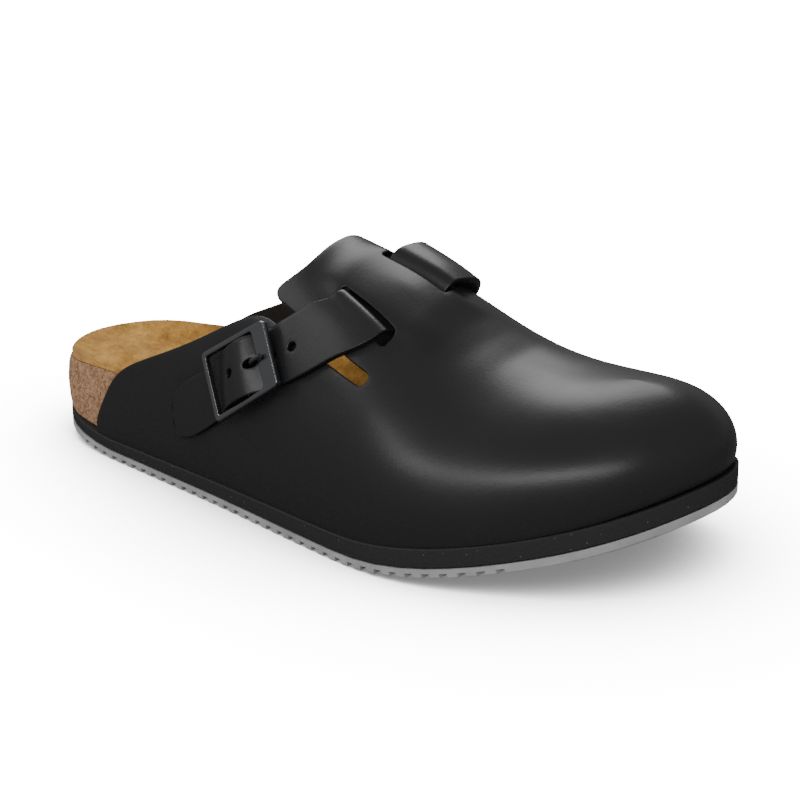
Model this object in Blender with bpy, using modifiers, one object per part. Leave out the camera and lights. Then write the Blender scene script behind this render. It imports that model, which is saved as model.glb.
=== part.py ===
# Closed-toe clog for the right foot: leather upper, cork footbed, foam midsole, notched rubber outsole,
# and one strap through two slots, held by a slide buckle on the outer side.
# Toe along +X, inner side of the foot along +Y, +Z up. The origin is on the floor under the heel pad.
import math

import bmesh
import bpy
import numpy as np
from mathutils import Matrix, Vector

# Sole
SOLE_LENGTH = 0.2864
BALL_WIDTH = 0.108
HEEL_PAD_X = 0.060          # from the back of the heel to the origin
TOE_SPRING = 0.025
HEEL_LIFT = 0.0058
OUTSOLE_THICKNESS = 0.0036
MIDSOLE_HEEL = 0.0044
MIDSOLE_BALL = 0.0073
EDGE_CHAMFER = 0.0006
NOTCH_PITCH = 0.0061
NOTCH_WIDTH = 0.0029
NOTCH_HEIGHT = 0.0019
NOTCH_DEPTH = 0.014
NOTCHED = (0.095, 0.825)     # where the notches start and end, in shares of the length
FIT = 0.0003                # clearance between glued or resting pieces
EDGE_INSET = 0.0005         # leather and cork behind the sole's edge
TOE_INSET = 0.0018          # the same for the leather at the toe

# Footbed and insole
LINING = 0.0013
SEAT_LEAST = 0.003          # least height of the footbed above the midsole
SEAT_SHORTER = 0.232        # how much shorter the innermost ring of the seat is

# Upper
LEATHER = 0.0022
INSTEP_HEIGHT = 0.0915      # top of the vamp above the floor, at the strap
BAND_LIFT = 0.0018          # how far the strap pushes up the band between its two slots
BAND_ALONG = (0.575, 0.050, 0.045)   # that band's middle, half length and fade, in shares of the length
BAND_AROUND = (-0.10, 0.13, 0.10)    # the same around the section
CREST_START = 0.667         # from here on the sections' tops fall back from the toe, shares of the length
CREST_END = 0.871           # the last section's top
SLIT_WIDTH = 0.0058
SLOT_WIDTH = 0.0085
SLOT_LENGTH = 0.0288
# the slots' straight edges on the band between them: rear and front end, in shares of the sole's length
# and of the ball width
OUTER_SLOT = ((0.5260, -0.181), (0.6215, -0.225))
INNER_SLOT = ((0.528, 0.006), (0.6235, 0.020))

# Strap
STRAP_WIDTH = 0.025
STRAP_THICKNESS = 0.0024
STRAP_LOOP = 0.0070         # height of the free loop on the inner side
STRAP_SLACK = 0.0008        # clearance below the leather where the strap runs inside
HOLE_DIAMETER = 0.0032
HOLE_PITCH = 0.0090

# Buckle
FRAME_LENGTH = 0.0340
FRAME_SIDE = 0.0022
FRAME_TAPER = 0.07          # how much narrower the frame is at its front bar
FRAME_PLAY = 0.0008         # beside the strap
FRAME_THICKNESS = 0.0024
FRONT_BAR = 0.0070
FRAME_RISE = 0.0053         # middle of the frame above the leather
FRAME_ROUND = 0.0006        # rounded edges of the frame
FRAME_CORNER = 0.0020
WINDOW_CORNER = 0.0010
REST_WIDTH = 0.0038         # the prong's rest in the front bar
REST_DEPTH = 0.0026
BAR_DROP = 0.0022           # centre bar below the middle of the frame
BAR_DIAMETER = 0.0022
BAR_SHIFT = -0.001          # centre bar behind the middle of the frame
PRONG_DIAMETER = 0.0018
PRONG_CROSSING = 0.60       # where it comes through the strap, in shares of the way to the front bar
ANCHOR_THICKNESS = 0.0012
ANCHOR_REACH = 0.0058       # how far the anchor's two layers reach behind the centre bar
# The prong's way from the centre bar to the front bar, as shares of the way along and of the way up
PRONG_PATH = [(0.20, -0.12), (0.38, -0.22), (0.52, 0.02), (0.66, 0.42), (0.80, 0.78), (0.92, 0.96),
              (1.10, 1.0), (1.30, 1.0)]
# Middle, rear and front of the buckle on the last: share of the sole's length, place around the section
BUCKLE_PLACE = ((0.4375, -0.6580), (0.3890, -0.733), (0.4900, -0.556))

# Outline of the sole. Columns: distance from the heel in shares of the length, outer side and inner
# side in shares of the ball width.
OUTLINE = [
    (0.046, 0.228, 0.245),
    (0.098, 0.291, 0.310),
    (0.175, 0.331, 0.330),
    (0.263, 0.368, 0.328),
    (0.368, 0.413, 0.326),
    (0.474, 0.466, 0.358),
    (0.579, 0.518, 0.415),
    (0.667, 0.543, 0.461),
    (0.744, 0.510, 0.485),
    (0.825, 0.427, 0.474),
    (0.895, 0.325, 0.440),
    (0.947, 0.200, 0.378),
    (0.982, 0.056, 0.268),
]
TIP = 0.105                 # sideways place of the toe tip, in shares of the ball width

# Sections of the last. Columns: distance from the heel in shares of the length, height in shares of
# the instep height, crest's sideways place in shares of the ball width, roundness across and upward,
# swell above the sole edge in shares of the leather thickness.
LAST = [
    (0.211, 1.090, -0.020, 2.00, 2.00, 0.68),
    (0.351, 1.086, 0.000, 2.00, 2.00, 0.68),
    (0.439, 1.078, 0.010, 2.08, 2.06, 0.68),
    (0.526, 1.000, 0.019, 2.20, 2.16, 0.68),
    (0.596, 0.926, 0.027, 2.30, 2.24, 0.67),
    (0.667, 0.806, 0.041, 2.34, 2.34, 0.66),
    (0.737, 0.710, 0.055, 2.31, 2.48, 0.64),
    (0.807, 0.680, 0.068, 2.27, 2.62, 0.62),
    (0.871, 0.693, 0.080, 2.24, 2.72, 0.61),
]

# Stations along the sole, in shares of the length, closer together at the round ends.
STATIONS = [0, 0.0015, 0.006, 0.014, 0.026, 0.042, 0.062, 0.088, 0.118, 0.15, 0.185, 0.22, 0.26, 0.30,
            0.34, 0.38, 0.42, 0.455, 0.49, 0.525, 0.56, 0.595, 0.63, 0.665, 0.70, 0.73, 0.76, 0.79,
            0.82, 0.85, 0.875, 0.90, 0.922, 0.942, 0.959, 0.973, 0.984, 0.992, 0.9975, 1.0]

# Edge of the side wings, of the vent slit's back end and of the tongue. Columns: distance from the
# heel in shares of the length, height in shares of the instep height.
WING_EDGE = [(0.128, 0.060), (0.121, 0.130), (0.131, 0.210), (0.146, 0.285), (0.163, 0.365),
             (0.184, 0.430), (0.216, 0.490), (0.260, 0.555), (0.310, 0.632), (0.360, 0.718),
             (0.398, 0.782), (0.422, 0.808), (0.440, 0.812), (0.456, 0.800)]
TONGUE_EDGE = [(0.462, 0.868), (0.447, 0.882), (0.441, 0.908), (0.447, 0.938), (0.459, 0.975),
               (0.467, 1.015), (0.470, 1.060)]
SLIT_END = (0.6090, 0.690)   # middle of the slit's round front end

# The strap on the last. Columns: rear edge's distance from the heel in shares of the length and place
# around the section (-1 outer sole edge, 0 crest, 1 inner sole edge), the same for the front edge,
# width share, then how far it lies outside (1) or under (0) the leather, over the centre bar, and up
# on the free loop at its rear and its front edge.
STRAP = [
    (0.3015, -0.832, 0.3025, -0.852, 0.10, 1.0, 0.00, 0.00, 0.00),
    (0.3040, -0.800, 0.3085, -0.876, 0.50, 1.0, 0.00, 0.00, 0.00),
    (0.3110, -0.765, 0.3200, -0.895, 0.72, 1.0, 0.00, 0.00, 0.00),
    (0.3230, -0.730, 0.3370, -0.897, 0.82, 1.0, 0.00, 0.00, 0.00),
    (0.3400, -0.700, 0.3580, -0.880, 0.84, 1.0, 0.00, 0.00, 0.00),
    (0.3620, -0.672, 0.3790, -0.850, 0.84, 1.0, 0.00, 0.00, 0.00),
    (0.3820, -0.640, 0.4020, -0.814, 0.84, 1.0, 0.06, 0.00, 0.00),
    (0.4020, -0.613, 0.4240, -0.781, 0.84, 1.0, 0.62, 0.00, 0.00),
    (0.4190, -0.587, 0.4430, -0.751, 0.84, 1.0, 0.97, 0.00, 0.00),
    (0.4360, -0.556, 0.4640, -0.714, 0.85, 1.0, 0.78, 0.00, 0.00),
    (0.4530, -0.523, 0.4870, -0.675, 0.86, 1.0, 0.02, 0.00, 0.00),
    (0.4700, -0.483, 0.5110, -0.635, 0.90, 1.0, 0.04, 0.00, 0.00),
    (0.4860, -0.438, 0.5410, -0.565, 0.95, 1.0, 0.00, 0.00, 0.00),
    (0.5020, -0.376, 0.5700, -0.486, 1.00, 1.0, 0.00, 0.00, 0.00),
    (0.5160, -0.330, 0.5940, -0.420, 1.00, 1.00, 0.00, 0.00, 0.00),
    (0.5235, -0.302, 0.6040, -0.380, 1.00, 1.00, 0.00, 0.00, 0.00),
    (0.5290, -0.280, 0.6100, -0.326, 1.00, 0.62, 0.00, 0.00, 0.00),
    (0.5325, -0.254, 0.6130, -0.288, 1.00, 0.04, 0.00, 0.00, 0.00),
    (0.5345, -0.226, 0.6140, -0.256, 1.00, 0.0, 0.00, 0.00, 0.00),
    (0.5370, -0.120, 0.6150, -0.160, 1.00, 0.0, 0.00, 0.00, 0.00),
    (0.5380, -0.040, 0.6150, -0.090, 1.00, 0.0, 0.00, 0.00, 0.00),
    (0.5385, -0.002, 0.6140, -0.036, 1.00, 0.0, 0.00, 0.00, 0.00),
    (0.5390, 0.028, 0.6130, 0.016, 1.00, 0.18, 0.00, 0.00, 0.00),
    (0.5400, 0.060, 0.6130, 0.054, 1.00, 0.86, 0.00, 0.05, 0.03),
    (0.5400, 0.090, 0.6130, 0.088, 1.00, 1.0, 0.00, 0.28, 0.15),
    (0.5410, 0.135, 0.6140, 0.130, 1.00, 1.0, 0.00, 0.64, 0.32),
    (0.5430, 0.190, 0.6150, 0.180, 1.00, 1.0, 0.00, 0.92, 0.46),
    (0.5390, 0.270, 0.6110, 0.260, 1.00, 1.0, 0.00, 1.00, 0.50),
    (0.5290, 0.360, 0.5990, 0.360, 1.00, 1.0, 0.00, 0.92, 0.44),
    (0.5130, 0.450, 0.5800, 0.470, 1.00, 1.0, 0.00, 0.74, 0.34),
    (0.4920, 0.530, 0.5540, 0.580, 1.00, 1.0, 0.00, 0.50, 0.24),
    (0.4650, 0.600, 0.5220, 0.670, 1.00, 1.0, 0.00, 0.26, 0.14),
    (0.4360, 0.655, 0.4880, 0.740, 1.00, 1.0, 0.00, 0.09, 0.05),
    (0.4080, 0.695, 0.4540, 0.795, 1.00, 1.0, 0.00, 0.00, 0.00),
    (0.3850, 0.730, 0.4260, 0.835, 1.00, 1.0, 0.00, 0.00, 0.00),
    (0.3700, 0.750, 0.4100, 0.855, 0.94, 1.0, 0.00, 0.00, 0.00),
]
STRAP_STEP = 0.0033         # distance between the strap's cross lines
HOLES = 4
PRONG_HOLE = 1              # the hole that the prong comes through

# Footbed. Columns: distance from the heel in shares of the length, then outer rim, inner rim and seat
# above the midsole in shares of the heel wall.
FOOTBED = [
    (0.00, 0.70, 0.70, 0.56),
    (0.05, 0.81, 0.81, 0.50),
    (0.10, 0.92, 0.92, 0.48),
    (0.17, 1.00, 1.00, 0.49),
    (0.26, 1.02, 1.05, 0.49),
    (0.35, 0.86, 1.08, 0.48),
    (0.45, 0.62, 1.00, 0.44),
    (0.53, 0.46, 0.78, 0.38),
    (0.60, 0.38, 0.55, 0.33),
    (0.67, 0.36, 0.42, 0.31),
    (0.80, 0.36, 0.37, 0.30),
    (0.92, 0.40, 0.40, 0.31),
    (1.00, 0.44, 0.44, 0.34),
]
HEEL_WALL = 0.0268          # heel cup's rim above the midsole
CORK_SWELL = 0.0014         # outward swell of the cork round the heel
DISH = [0.965, 0.90, 0.80, 0.66, 0.48, 0.26]   # rings of the footbed's top, in shares of its width


def spline(xs, ys, at):
    # natural cubic curve through a table, read at the given places
    xs, ys, at = np.asarray(xs, float), np.asarray(ys, float), np.asarray(at, float)
    n = len(xs)
    h = np.diff(xs)
    a = np.eye(n)
    b = np.zeros(n)
    for i in range(1, n - 1):
        a[i, i - 1:i + 2] = h[i - 1], 2 * (h[i - 1] + h[i]), h[i]
        b[i] = 6 * ((ys[i + 1] - ys[i]) / h[i] - (ys[i] - ys[i - 1]) / h[i - 1])
    m = np.linalg.solve(a, b)
    k = np.clip(np.searchsorted(xs, at) - 1, 0, n - 2)
    u, v = at - xs[k], xs[k + 1] - at
    return ((m[k] * v ** 3 + m[k + 1] * u ** 3) / (6 * h[k]) + (ys[k] / h[k] - m[k] * h[k] / 6) * v
            + (ys[k + 1] / h[k] - m[k + 1] * h[k] / 6) * u)


def through(points, at=None, count=None):
    # smooth curve through points, read at distances along it or at evenly spaced places
    p = np.asarray(points, float)
    d = np.r_[0, np.cumsum(np.linalg.norm(np.diff(p, axis=0), axis=1))]
    t = np.linspace(0, d[-1], count) if at is None else at
    return np.stack([spline(d, p[:, k], t) for k in range(p.shape[1])], 1)


def sole_outline():
    # one dense closed run round the sole: heel, outer side, tip, inner side
    outer = [(x * SOLE_LENGTH, -o * BALL_WIDTH) for x, o, i in OUTLINE]
    inner = [(x * SOLE_LENGTH, i * BALL_WIDTH) for x, o, i in OUTLINE]
    ring = [(0.0, 0.0)] + outer + [(SOLE_LENGTH, TIP * BALL_WIDTH)] + inner[::-1]
    n = len(ring)
    p = np.array(ring[-3:] + ring + ring[:4])
    d = np.r_[0, np.cumsum(np.linalg.norm(np.diff(p, axis=0), axis=1))]
    run = through(p, at=np.linspace(d[3], d[3 + n], 2400, endpoint=False))
    run[:, 0] = np.interp(run[:, 0], [run[:, 0].min(), run[:, 0].max()], [0, SOLE_LENGTH])
    return run


RUN = sole_outline()
HEEL_I = int(np.argmin(RUN[:, 0]))
RUN = np.roll(RUN, -HEEL_I, axis=0)
TIP_I = int(np.argmax(RUN[:, 0]))
TANGENT = np.roll(RUN, -1, axis=0) - np.roll(RUN, 1, axis=0)
NORMAL = np.c_[TANGENT[:, 1], -TANGENT[:, 0]] / np.linalg.norm(TANGENT, axis=1)[:, None]


def side(x, which):
    # point of the outline and its outward normal at a distance from the heel, outer or inner side
    x = np.clip(x, 0, SOLE_LENGTH)
    if which == "outer":
        keep = np.arange(0, TIP_I + 1)
    else:
        keep = np.r_[np.arange(TIP_I, len(RUN)), 0][::-1]
    xs = np.maximum.accumulate(RUN[keep, 0])
    point = np.stack([x, np.interp(x, xs, RUN[keep, 1])], -1)
    normal = np.stack([np.interp(x, xs, NORMAL[keep, k]) for k in (0, 1)], -1)
    return point, normal / np.linalg.norm(normal, axis=-1, keepdims=True)


def ring_at(inset):
    # the outline's stations as a closed ring, moved inward by a distance that may change with x
    x = np.array(STATIONS) * SOLE_LENGTH
    a, na = side(x, "outer")
    b, nb = side(x[1:-1][::-1], "inner")
    p, n = np.vstack([a, b]), np.vstack([na, nb])
    amount = inset(p[:, 0]) if callable(inset) else inset
    return p - n * np.reshape(amount * np.ones(len(p)), (-1, 1))


def ground(x):
    # underside of the outsole above the floor
    toe = np.clip((x - 0.60 * SOLE_LENGTH) / (0.40 * SOLE_LENGTH), 0, None)
    heel = np.clip(1 - x / (0.158 * SOLE_LENGTH), 0, 1.2)
    return TOE_SPRING * toe ** 1.8 + HEEL_LIFT * heel ** 1.6


def outsole_top(x):
    return ground(x) + OUTSOLE_THICKNESS


def midsole_top(x):
    thick = np.interp(x / SOLE_LENGTH, [0.105, 0.70], [MIDSOLE_HEEL, MIDSOLE_BALL])
    return outsole_top(x) + FIT + thick


def leather_inset(x):
    return np.interp(x / SOLE_LENGTH, [0.842, 0.982], [EDGE_INSET, TOE_INSET])


def cork_inset(x):
    under_leather = leather_inset(x) + LEATHER + 2 * FIT
    share = np.clip((x / SOLE_LENGTH - 0.04) / 0.075, 0, 1)
    share = share * share * (3 - 2 * share)
    return EDGE_INSET + (under_leather - EDGE_INSET) * share


def window(value, middle, half, fade):
    # 1 within half of the middle, falling smoothly to 0 over the fade
    s = np.clip((half + fade - np.abs(value - middle)) / fade, 0, 1)
    return s * s * (3 - 2 * s)


def skin(x, t):
    # outer surface of the leather on the last; x from the heel, t from -1 at the outer sole edge over
    # 0 at the crest to 1 at the inner sole edge
    x, t = np.broadcast_arrays(np.asarray(x, float), np.asarray(t, float))
    a, na = side(x, "outer")
    b, nb = side(x, "inner")
    inset = leather_inset(x)[..., None]
    edge = np.where((t < 0)[..., None], a - na * inset, b - nb * inset)
    back = CREST_START * SOLE_LENGTH
    squeeze = (SOLE_LENGTH - CREST_END * SOLE_LENGTH) / (SOLE_LENGTH - back) ** 2
    xs = x - squeeze * np.clip(x - back, 0, None) ** 2
    table = np.array(LAST)
    at = xs / SOLE_LENGTH
    high, crest, across, up, swell = (spline(table[:, 0], table[:, k], at) for k in range(1, 6))
    high, crest, swell = high * INSTEP_HEIGHT, crest * BALL_WIDTH, swell * LEATHER
    phi = (1 - np.abs(t)) * math.pi / 2
    run = np.clip(np.cos(phi), 0, 1) ** (2 / across)
    rise = np.sin(phi) ** (2 / up)
    top = np.stack([xs, crest], -1)
    away = edge - top
    reach = np.linalg.norm(away, axis=-1)
    away = away / reach[..., None]
    out = reach * run + swell * 6.75 * rise * (1 - rise) ** 2
    low = midsole_top(x)
    flat = top + away * out[..., None]
    pushed = BAND_LIFT * window(at, *BAND_ALONG) * window(t, *BAND_AROUND)
    return np.concatenate([flat, (low + (high - low) * rise + pushed)[..., None]], -1)


def skin_normal(x, t):
    dx = skin(x + 0.0005, t) - skin(x - 0.0005, t)
    dt = skin(x, t + 0.01) - skin(x, t - 0.01)
    n = np.cross(dx, dt)
    n = n / np.linalg.norm(n, axis=-1, keepdims=True)
    return np.where(n[..., 2:] < -0.5, -n, n)


def collection(name):
    made = bpy.data.collections.new(name)
    bpy.context.scene.collection.children.link(made)
    return made


def material(name, colour, roughness, metallic=0.0):
    made = bpy.data.materials.new(name)
    made.use_nodes = True
    shader = made.node_tree.nodes["Principled BSDF"]
    shader.inputs["Base Color"].default_value = (*colour, 1)
    shader.inputs["Roughness"].default_value = roughness
    shader.inputs["Metallic"].default_value = metallic
    return made


def as_object(name, mesh_data, mat=None, cutter=False):
    made = bpy.data.objects.new(name, mesh_data)
    (CUTTERS if cutter else CLOG).objects.link(made)
    made.parent = HEEL
    if cutter:
        made.hide_render = True
        made.display_type = "WIRE"
    if mat:
        made.data.materials.append(mat)
    return made


def mesh_of(name, verts, faces, weld=1e-6):
    bm = bmesh.new()
    made = [bm.verts.new(v) for v in verts]
    for f in faces:
        bm.faces.new([made[i] for i in f])
    bmesh.ops.remove_doubles(bm, verts=bm.verts, dist=weld)
    bmesh.ops.recalc_face_normals(bm, faces=bm.faces)
    data = bpy.data.meshes.new(name)
    bm.to_mesh(data)
    bm.free()
    return data


def rings_mesh(name, rings):
    # closed solid through rings that share the outline's stations, with strips across the ends
    n = len(rings[0])
    half = n // 2
    verts = np.vstack(rings)
    faces = []
    for r in range(len(rings) - 1):
        for i in range(n):
            j = (i + 1) % n
            faces.append((r * n + i, r * n + j, (r + 1) * n + j, (r + 1) * n + i))
    for base in (0, (len(rings) - 1) * n):
        for i in range(half):
            f = [base + i, base + i + 1, base + (n - i - 1) % n, base + (n - i) % n]
            faces.append(tuple(dict.fromkeys(f)))
    return mesh_of(name, verts, faces)


def with_z(ring, z):
    return np.c_[ring, z(ring[:, 0]) if callable(z) else z]


def prism(name, outline, low, high, plane="XZ"):
    # a flat outline pulled straight through
    n = len(outline)
    if plane == "XZ":
        verts = [(x, low, z) for x, z in outline] + [(x, high, z) for x, z in outline]
    else:
        verts = [(x, y, low) for x, y in outline] + [(x, y, high) for x, y in outline]
    faces = [tuple(range(n)), tuple(range(n, 2 * n))]
    faces += [(i, (i + 1) % n, n + (i + 1) % n, n + i) for i in range(n)]
    return mesh_of(name, verts, faces)


def box(name, size, matrix, bevel=0.0):
    bm = bmesh.new()
    bmesh.ops.create_cube(bm, size=1, matrix=matrix @ Matrix.Diagonal((*size, 1)))
    if bevel:
        bmesh.ops.bevel(bm, geom=bm.edges[:], offset=bevel, segments=2, affect="EDGES", profile=0.5)
    data = bpy.data.meshes.new(name)
    bm.to_mesh(data)
    bm.free()
    return data


def cylinder(name, radius, length, matrix, sides=20):
    bm = bmesh.new()
    bmesh.ops.create_cone(bm, cap_ends=True, segments=sides, radius1=radius, radius2=radius,
                          depth=length, matrix=matrix)
    data = bpy.data.meshes.new(name)
    bm.to_mesh(data)
    bm.free()
    return data


def boolean(target, other, kind="DIFFERENCE"):
    mod = target.modifiers.new(other.name, "BOOLEAN")
    mod.operation = kind
    mod.object = other
    mod.solver = "EXACT"
    return mod


def baked(obj, name, weld=1e-6):
    # the evaluated shape as a plain mesh in the heel's frame, welded
    bpy.context.view_layer.update()
    data = bpy.data.meshes.new_from_object(obj.evaluated_get(bpy.context.evaluated_depsgraph_get()))
    bm = bmesh.new()
    bm.from_mesh(data)
    bmesh.ops.remove_doubles(bm, verts=bm.verts, dist=weld)
    bmesh.ops.recalc_face_normals(bm, faces=bm.faces)
    bm.to_mesh(data)
    bm.free()
    data.name = name
    return data


def smooth(obj, angle=35):
    obj.data.shade_smooth()
    obj.data.set_sharp_from_angle(angle=math.radians(angle))


def basis(x_axis, y_axis, z_axis, at):
    m = Matrix.Identity(4)
    for k, axis in enumerate((x_axis, y_axis, z_axis, at)):
        for r in range(3):
            m[r][k] = axis[r]
    return m


for old in list(bpy.data.objects):
    bpy.data.objects.remove(old, do_unlink=True)
CLOG = collection("chef_clog")
CUTTERS = collection("chef_clog_cutters")
HEEL = bpy.data.objects.new("heel_pad_frame", None)
CLOG.objects.link(HEEL)
HEEL.location = (-HEEL_PAD_X, 0, 0)

RUBBER = material("grey_rubber", (0.20, 0.20, 0.21), 0.6)
FOAM = material("black_foam", (0.014, 0.014, 0.015), 0.75)
CORK = material("cork", (0.36, 0.20, 0.12), 0.85)
SUEDE = material("tan_suede", (0.48, 0.30, 0.14), 0.95)
LEATHER_MAT = material("black_leather", (0.012, 0.012, 0.013), 0.35)
METAL = material("black_metal", (0.05, 0.05, 0.055), 0.25, 0.9)


def make_outsole():
    rings = [with_z(ring_at(EDGE_CHAMFER), ground),
             with_z(ring_at(0.0), lambda x: ground(x) + EDGE_CHAMFER),
             with_z(ring_at(0.0), outsole_top)]
    made = as_object("outsole", rings_mesh("outsole", rings), RUBBER)
    bm = bmesh.new()
    first, last = NOTCHED[0] * SOLE_LENGTH, NOTCHED[1] * SOLE_LENGTH
    for k in range(int((last - first) / NOTCH_PITCH) + 1):
        x = first + k * NOTCH_PITCH
        for which in ("outer", "inner"):
            point, normal = side(np.array(x), which)
            slope = (ground(np.array(x + 0.001)) - ground(np.array(x - 0.001))) / 0.002
            spot = Matrix.Translation((point[0], point[1], float(ground(np.array(x)))))
            turn = Matrix.Rotation(-math.atan(slope), 4, "Y")
            size = Matrix.Diagonal((NOTCH_WIDTH, 2 * NOTCH_DEPTH, 2 * NOTCH_HEIGHT, 1))
            bmesh.ops.create_cube(bm, size=1, matrix=spot @ turn @ size)
    data = bpy.data.meshes.new("edge_notches")
    bm.to_mesh(data)
    bm.free()
    boolean(made, as_object("edge_notches", data, cutter=True))
    return made


def make_midsole():
    rings = [with_z(ring_at(0.0), lambda x: outsole_top(x) + FIT),
             with_z(ring_at(0.0), lambda x: midsole_top(x) - EDGE_CHAMFER),
             with_z(ring_at(EDGE_CHAMFER * 0.5), midsole_top)]
    return as_object("midsole", rings_mesh("midsole", rings), FOAM)


def footbed_ring(share, raise_by=0.0):
    # a ring of the footbed's dished top
    edge = ring_at(cork_inset)
    n = len(edge)
    half = n // 2
    x0 = edge[:, 0]
    mirror = np.r_[0, np.arange(n - 1, 0, -1)]
    middle_y = (edge[:, 1] + edge[mirror, 1]) / 2
    centre = SOLE_LENGTH / 2
    x = centre + (x0 - centre) * (1 - (1 - share) * SEAT_SHORTER)
    y = middle_y + (edge[:, 1] - middle_y) * share
    table = np.array(FOOTBED)
    outer, inner, seat = (np.interp(x0 / SOLE_LENGTH, table[:, 0], table[:, k]) for k in (1, 2, 3))
    blend = np.where(np.arange(n) <= half, 0.0, 1.0)
    blend[[0, half]] = 0.5
    rim = (outer * (1 - blend) + inner * blend) * HEEL_WALL
    seat = seat * HEEL_WALL
    dish = np.clip((share - 0.26) / (0.965 - 0.26), 0, 1) ** 2.2
    z = midsole_top(x0) + FIT + seat + (rim - seat) * dish + raise_by
    low = midsole_top(x) + FIT + SEAT_LEAST
    return np.c_[x, y, np.maximum(z, low)], rim


def make_footbed():
    foot = with_z(ring_at(cork_inset), lambda x: midsole_top(x) + FIT)
    top, rim = footbed_ring(DISH[0])
    swell = CORK_SWELL * np.clip(1 - foot[:, 0] / (0.12 * SOLE_LENGTH), 0, 1)
    n = ring_at(0.0) - ring_at(0.001)
    n = n / np.linalg.norm(n, axis=1)[:, None]
    rings = [foot]
    for level, push in ((0.22, 0.75), (0.5, 1.0), (0.8, 0.35), (0.94, -0.5)):
        r = foot.copy()
        r[:, :2] += n * (swell * push)[:, None]
        r[:, 2] = foot[:, 2] + rim * level
        rings.append(r)
    for share in DISH:
        rings.append(footbed_ring(share)[0])
    return as_object("footbed", rings_mesh("footbed", rings), CORK)


def make_lining():
    rings = [footbed_ring(share, FIT)[0] for share in DISH[::-1]]
    rings += [footbed_ring(share, FIT + LINING)[0] for share in DISH]
    return as_object("footbed_lining", rings_mesh("footbed_lining", rings), SUEDE)


def opening_outline():
    # side view of everything that is open: behind the wings, above them, the vent slit, and behind
    # the tongue
    scale = np.array([SOLE_LENGTH, INSTEP_HEIGHT])
    wing = through(np.array(WING_EDGE) * scale, count=26)
    tongue = through(np.array(TONGUE_EDGE) * scale, count=12)
    end = np.array(SLIT_END) * scale
    back = (wing[-1] + tongue[0]) / 2
    along = (end - back) / np.linalg.norm(end - back)
    up = np.array([-along[1], along[0]])
    if up[1] < 0:
        up = -up
    arc = [end + SLIT_WIDTH / 2 * (math.sin(a) * along - math.cos(a) * up)
           for a in np.linspace(0, math.pi, 9)]
    bottom = -0.05
    far = SOLE_LENGTH * 0.1
    points = [(-far, bottom), (wing[0][0], bottom)] + [tuple(p) for p in wing]
    points += [tuple(p) for p in arc] + [tuple(p) for p in tongue]
    points += [(tongue[-1][0], 2 * INSTEP_HEIGHT), (-far, 2 * INSTEP_HEIGHT)]
    return points


def slot_cutter(name, start, end, outward):
    # one strap slot, beside the straight edge of the band between the slots
    a, b = (np.array(p) * (SOLE_LENGTH, BALL_WIDTH) for p in (start, end))
    along = (b - a) / np.linalg.norm(b - a)
    across = np.array([-along[1], along[0]]) * outward
    middle = (a + b) / 2 + across * SLOT_WIDTH / 2
    m = basis((*along, 0), (-along[1], along[0], 0), (0, 0, 1), (*middle, INSTEP_HEIGHT))
    return as_object(name, box(name, (SLOT_LENGTH, SLOT_WIDTH, 0.8 * INSTEP_HEIGHT), m), cutter=True)


def make_upper():
    xs = np.array([s for s in STATIONS if s > 0.08]) * SOLE_LENGTH
    half = np.array([1, 0.94, 0.88, 0.81, 0.73, 0.64, 0.54, 0.44, 0.34, 0.24, 0.14, 0.06])
    t = np.r_[-half, 0, half[::-1]]
    grid = skin(xs[:, None], t[None, :])
    low = grid[:, [0, -1]].copy()
    low[..., 2] -= 0.004
    grid = np.concatenate([low[:, :1], grid, low[:, 1:]], axis=1)
    rows, cols = grid.shape[:2]
    verts = grid.reshape(-1, 3)
    faces = [(i * cols + j, (i + 1) * cols + j, (i + 1) * cols + j + 1, i * cols + j + 1)
             for i in range(rows - 1) for j in range(cols - 1)]
    data = mesh_of("upper", verts, faces, weld=2e-5)
    up = sum(p.normal.z * p.area for p in data.polygons)
    if up < 0:
        data.flip_normals()
    made = as_object("upper", data, LEATHER_MAT)
    wall = made.modifiers.new("leather", "SOLIDIFY")
    wall.thickness = LEATHER
    wall.offset = -1
    wall.use_even_offset = True
    x = np.array([-0.1] + STATIONS + [1.1]) * SOLE_LENGTH
    z = np.array([midsole_top(np.clip(v, 0, SOLE_LENGTH)) for v in x]) + FIT
    bed = [(x[0], -0.06)] + list(zip(x, z)) + [(x[-1], -0.06)]
    boolean(made, as_object("under_leather", prism("under_leather", bed, -BALL_WIDTH, BALL_WIDTH),
                            cutter=True))
    boolean(made, as_object("openings", prism("openings", opening_outline(), -BALL_WIDTH, BALL_WIDTH),
                            cutter=True))
    boolean(made, slot_cutter("outer_slot", *OUTER_SLOT, -1))
    boolean(made, slot_cutter("inner_slot", *INNER_SLOT, 1))
    return made


def bar_height():
    return FRAME_RISE - BAR_DROP


def prong_turn():
    return BAR_DIAMETER / 2 + 0.0001 + PRONG_DIAMETER / 2


def strap_rows():
    table = np.array(STRAP)
    lie = FIT + STRAP_THICKNESS / 2
    under = -(LEATHER + STRAP_SLACK + STRAP_THICKNESS / 2)
    over_bar = bar_height() + prong_turn() + PRONG_DIAMETER / 2 + FIT + STRAP_THICKNESS / 2 - lie
    rows = []
    for xr, tr, xf, tf, width, outside, bar, loop_rear, loop_front in table:
        s = np.linspace(0, 1, 5)
        x, t = (xr + (xf - xr) * s) * SOLE_LENGTH, tr + (tf - tr) * s
        loop = loop_rear + (loop_front - loop_rear) * s
        lift = under + (lie - under) * outside + over_bar * bar + STRAP_LOOP * loop
        p = skin(x, t) + skin_normal(x, t) * lift[:, None]
        centre = p[2]
        wide = np.linalg.norm(p[4] - p[0])
        rows.append(centre + (p - centre) * (STRAP_WIDTH * width / wide))
    return np.array(rows)


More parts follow.
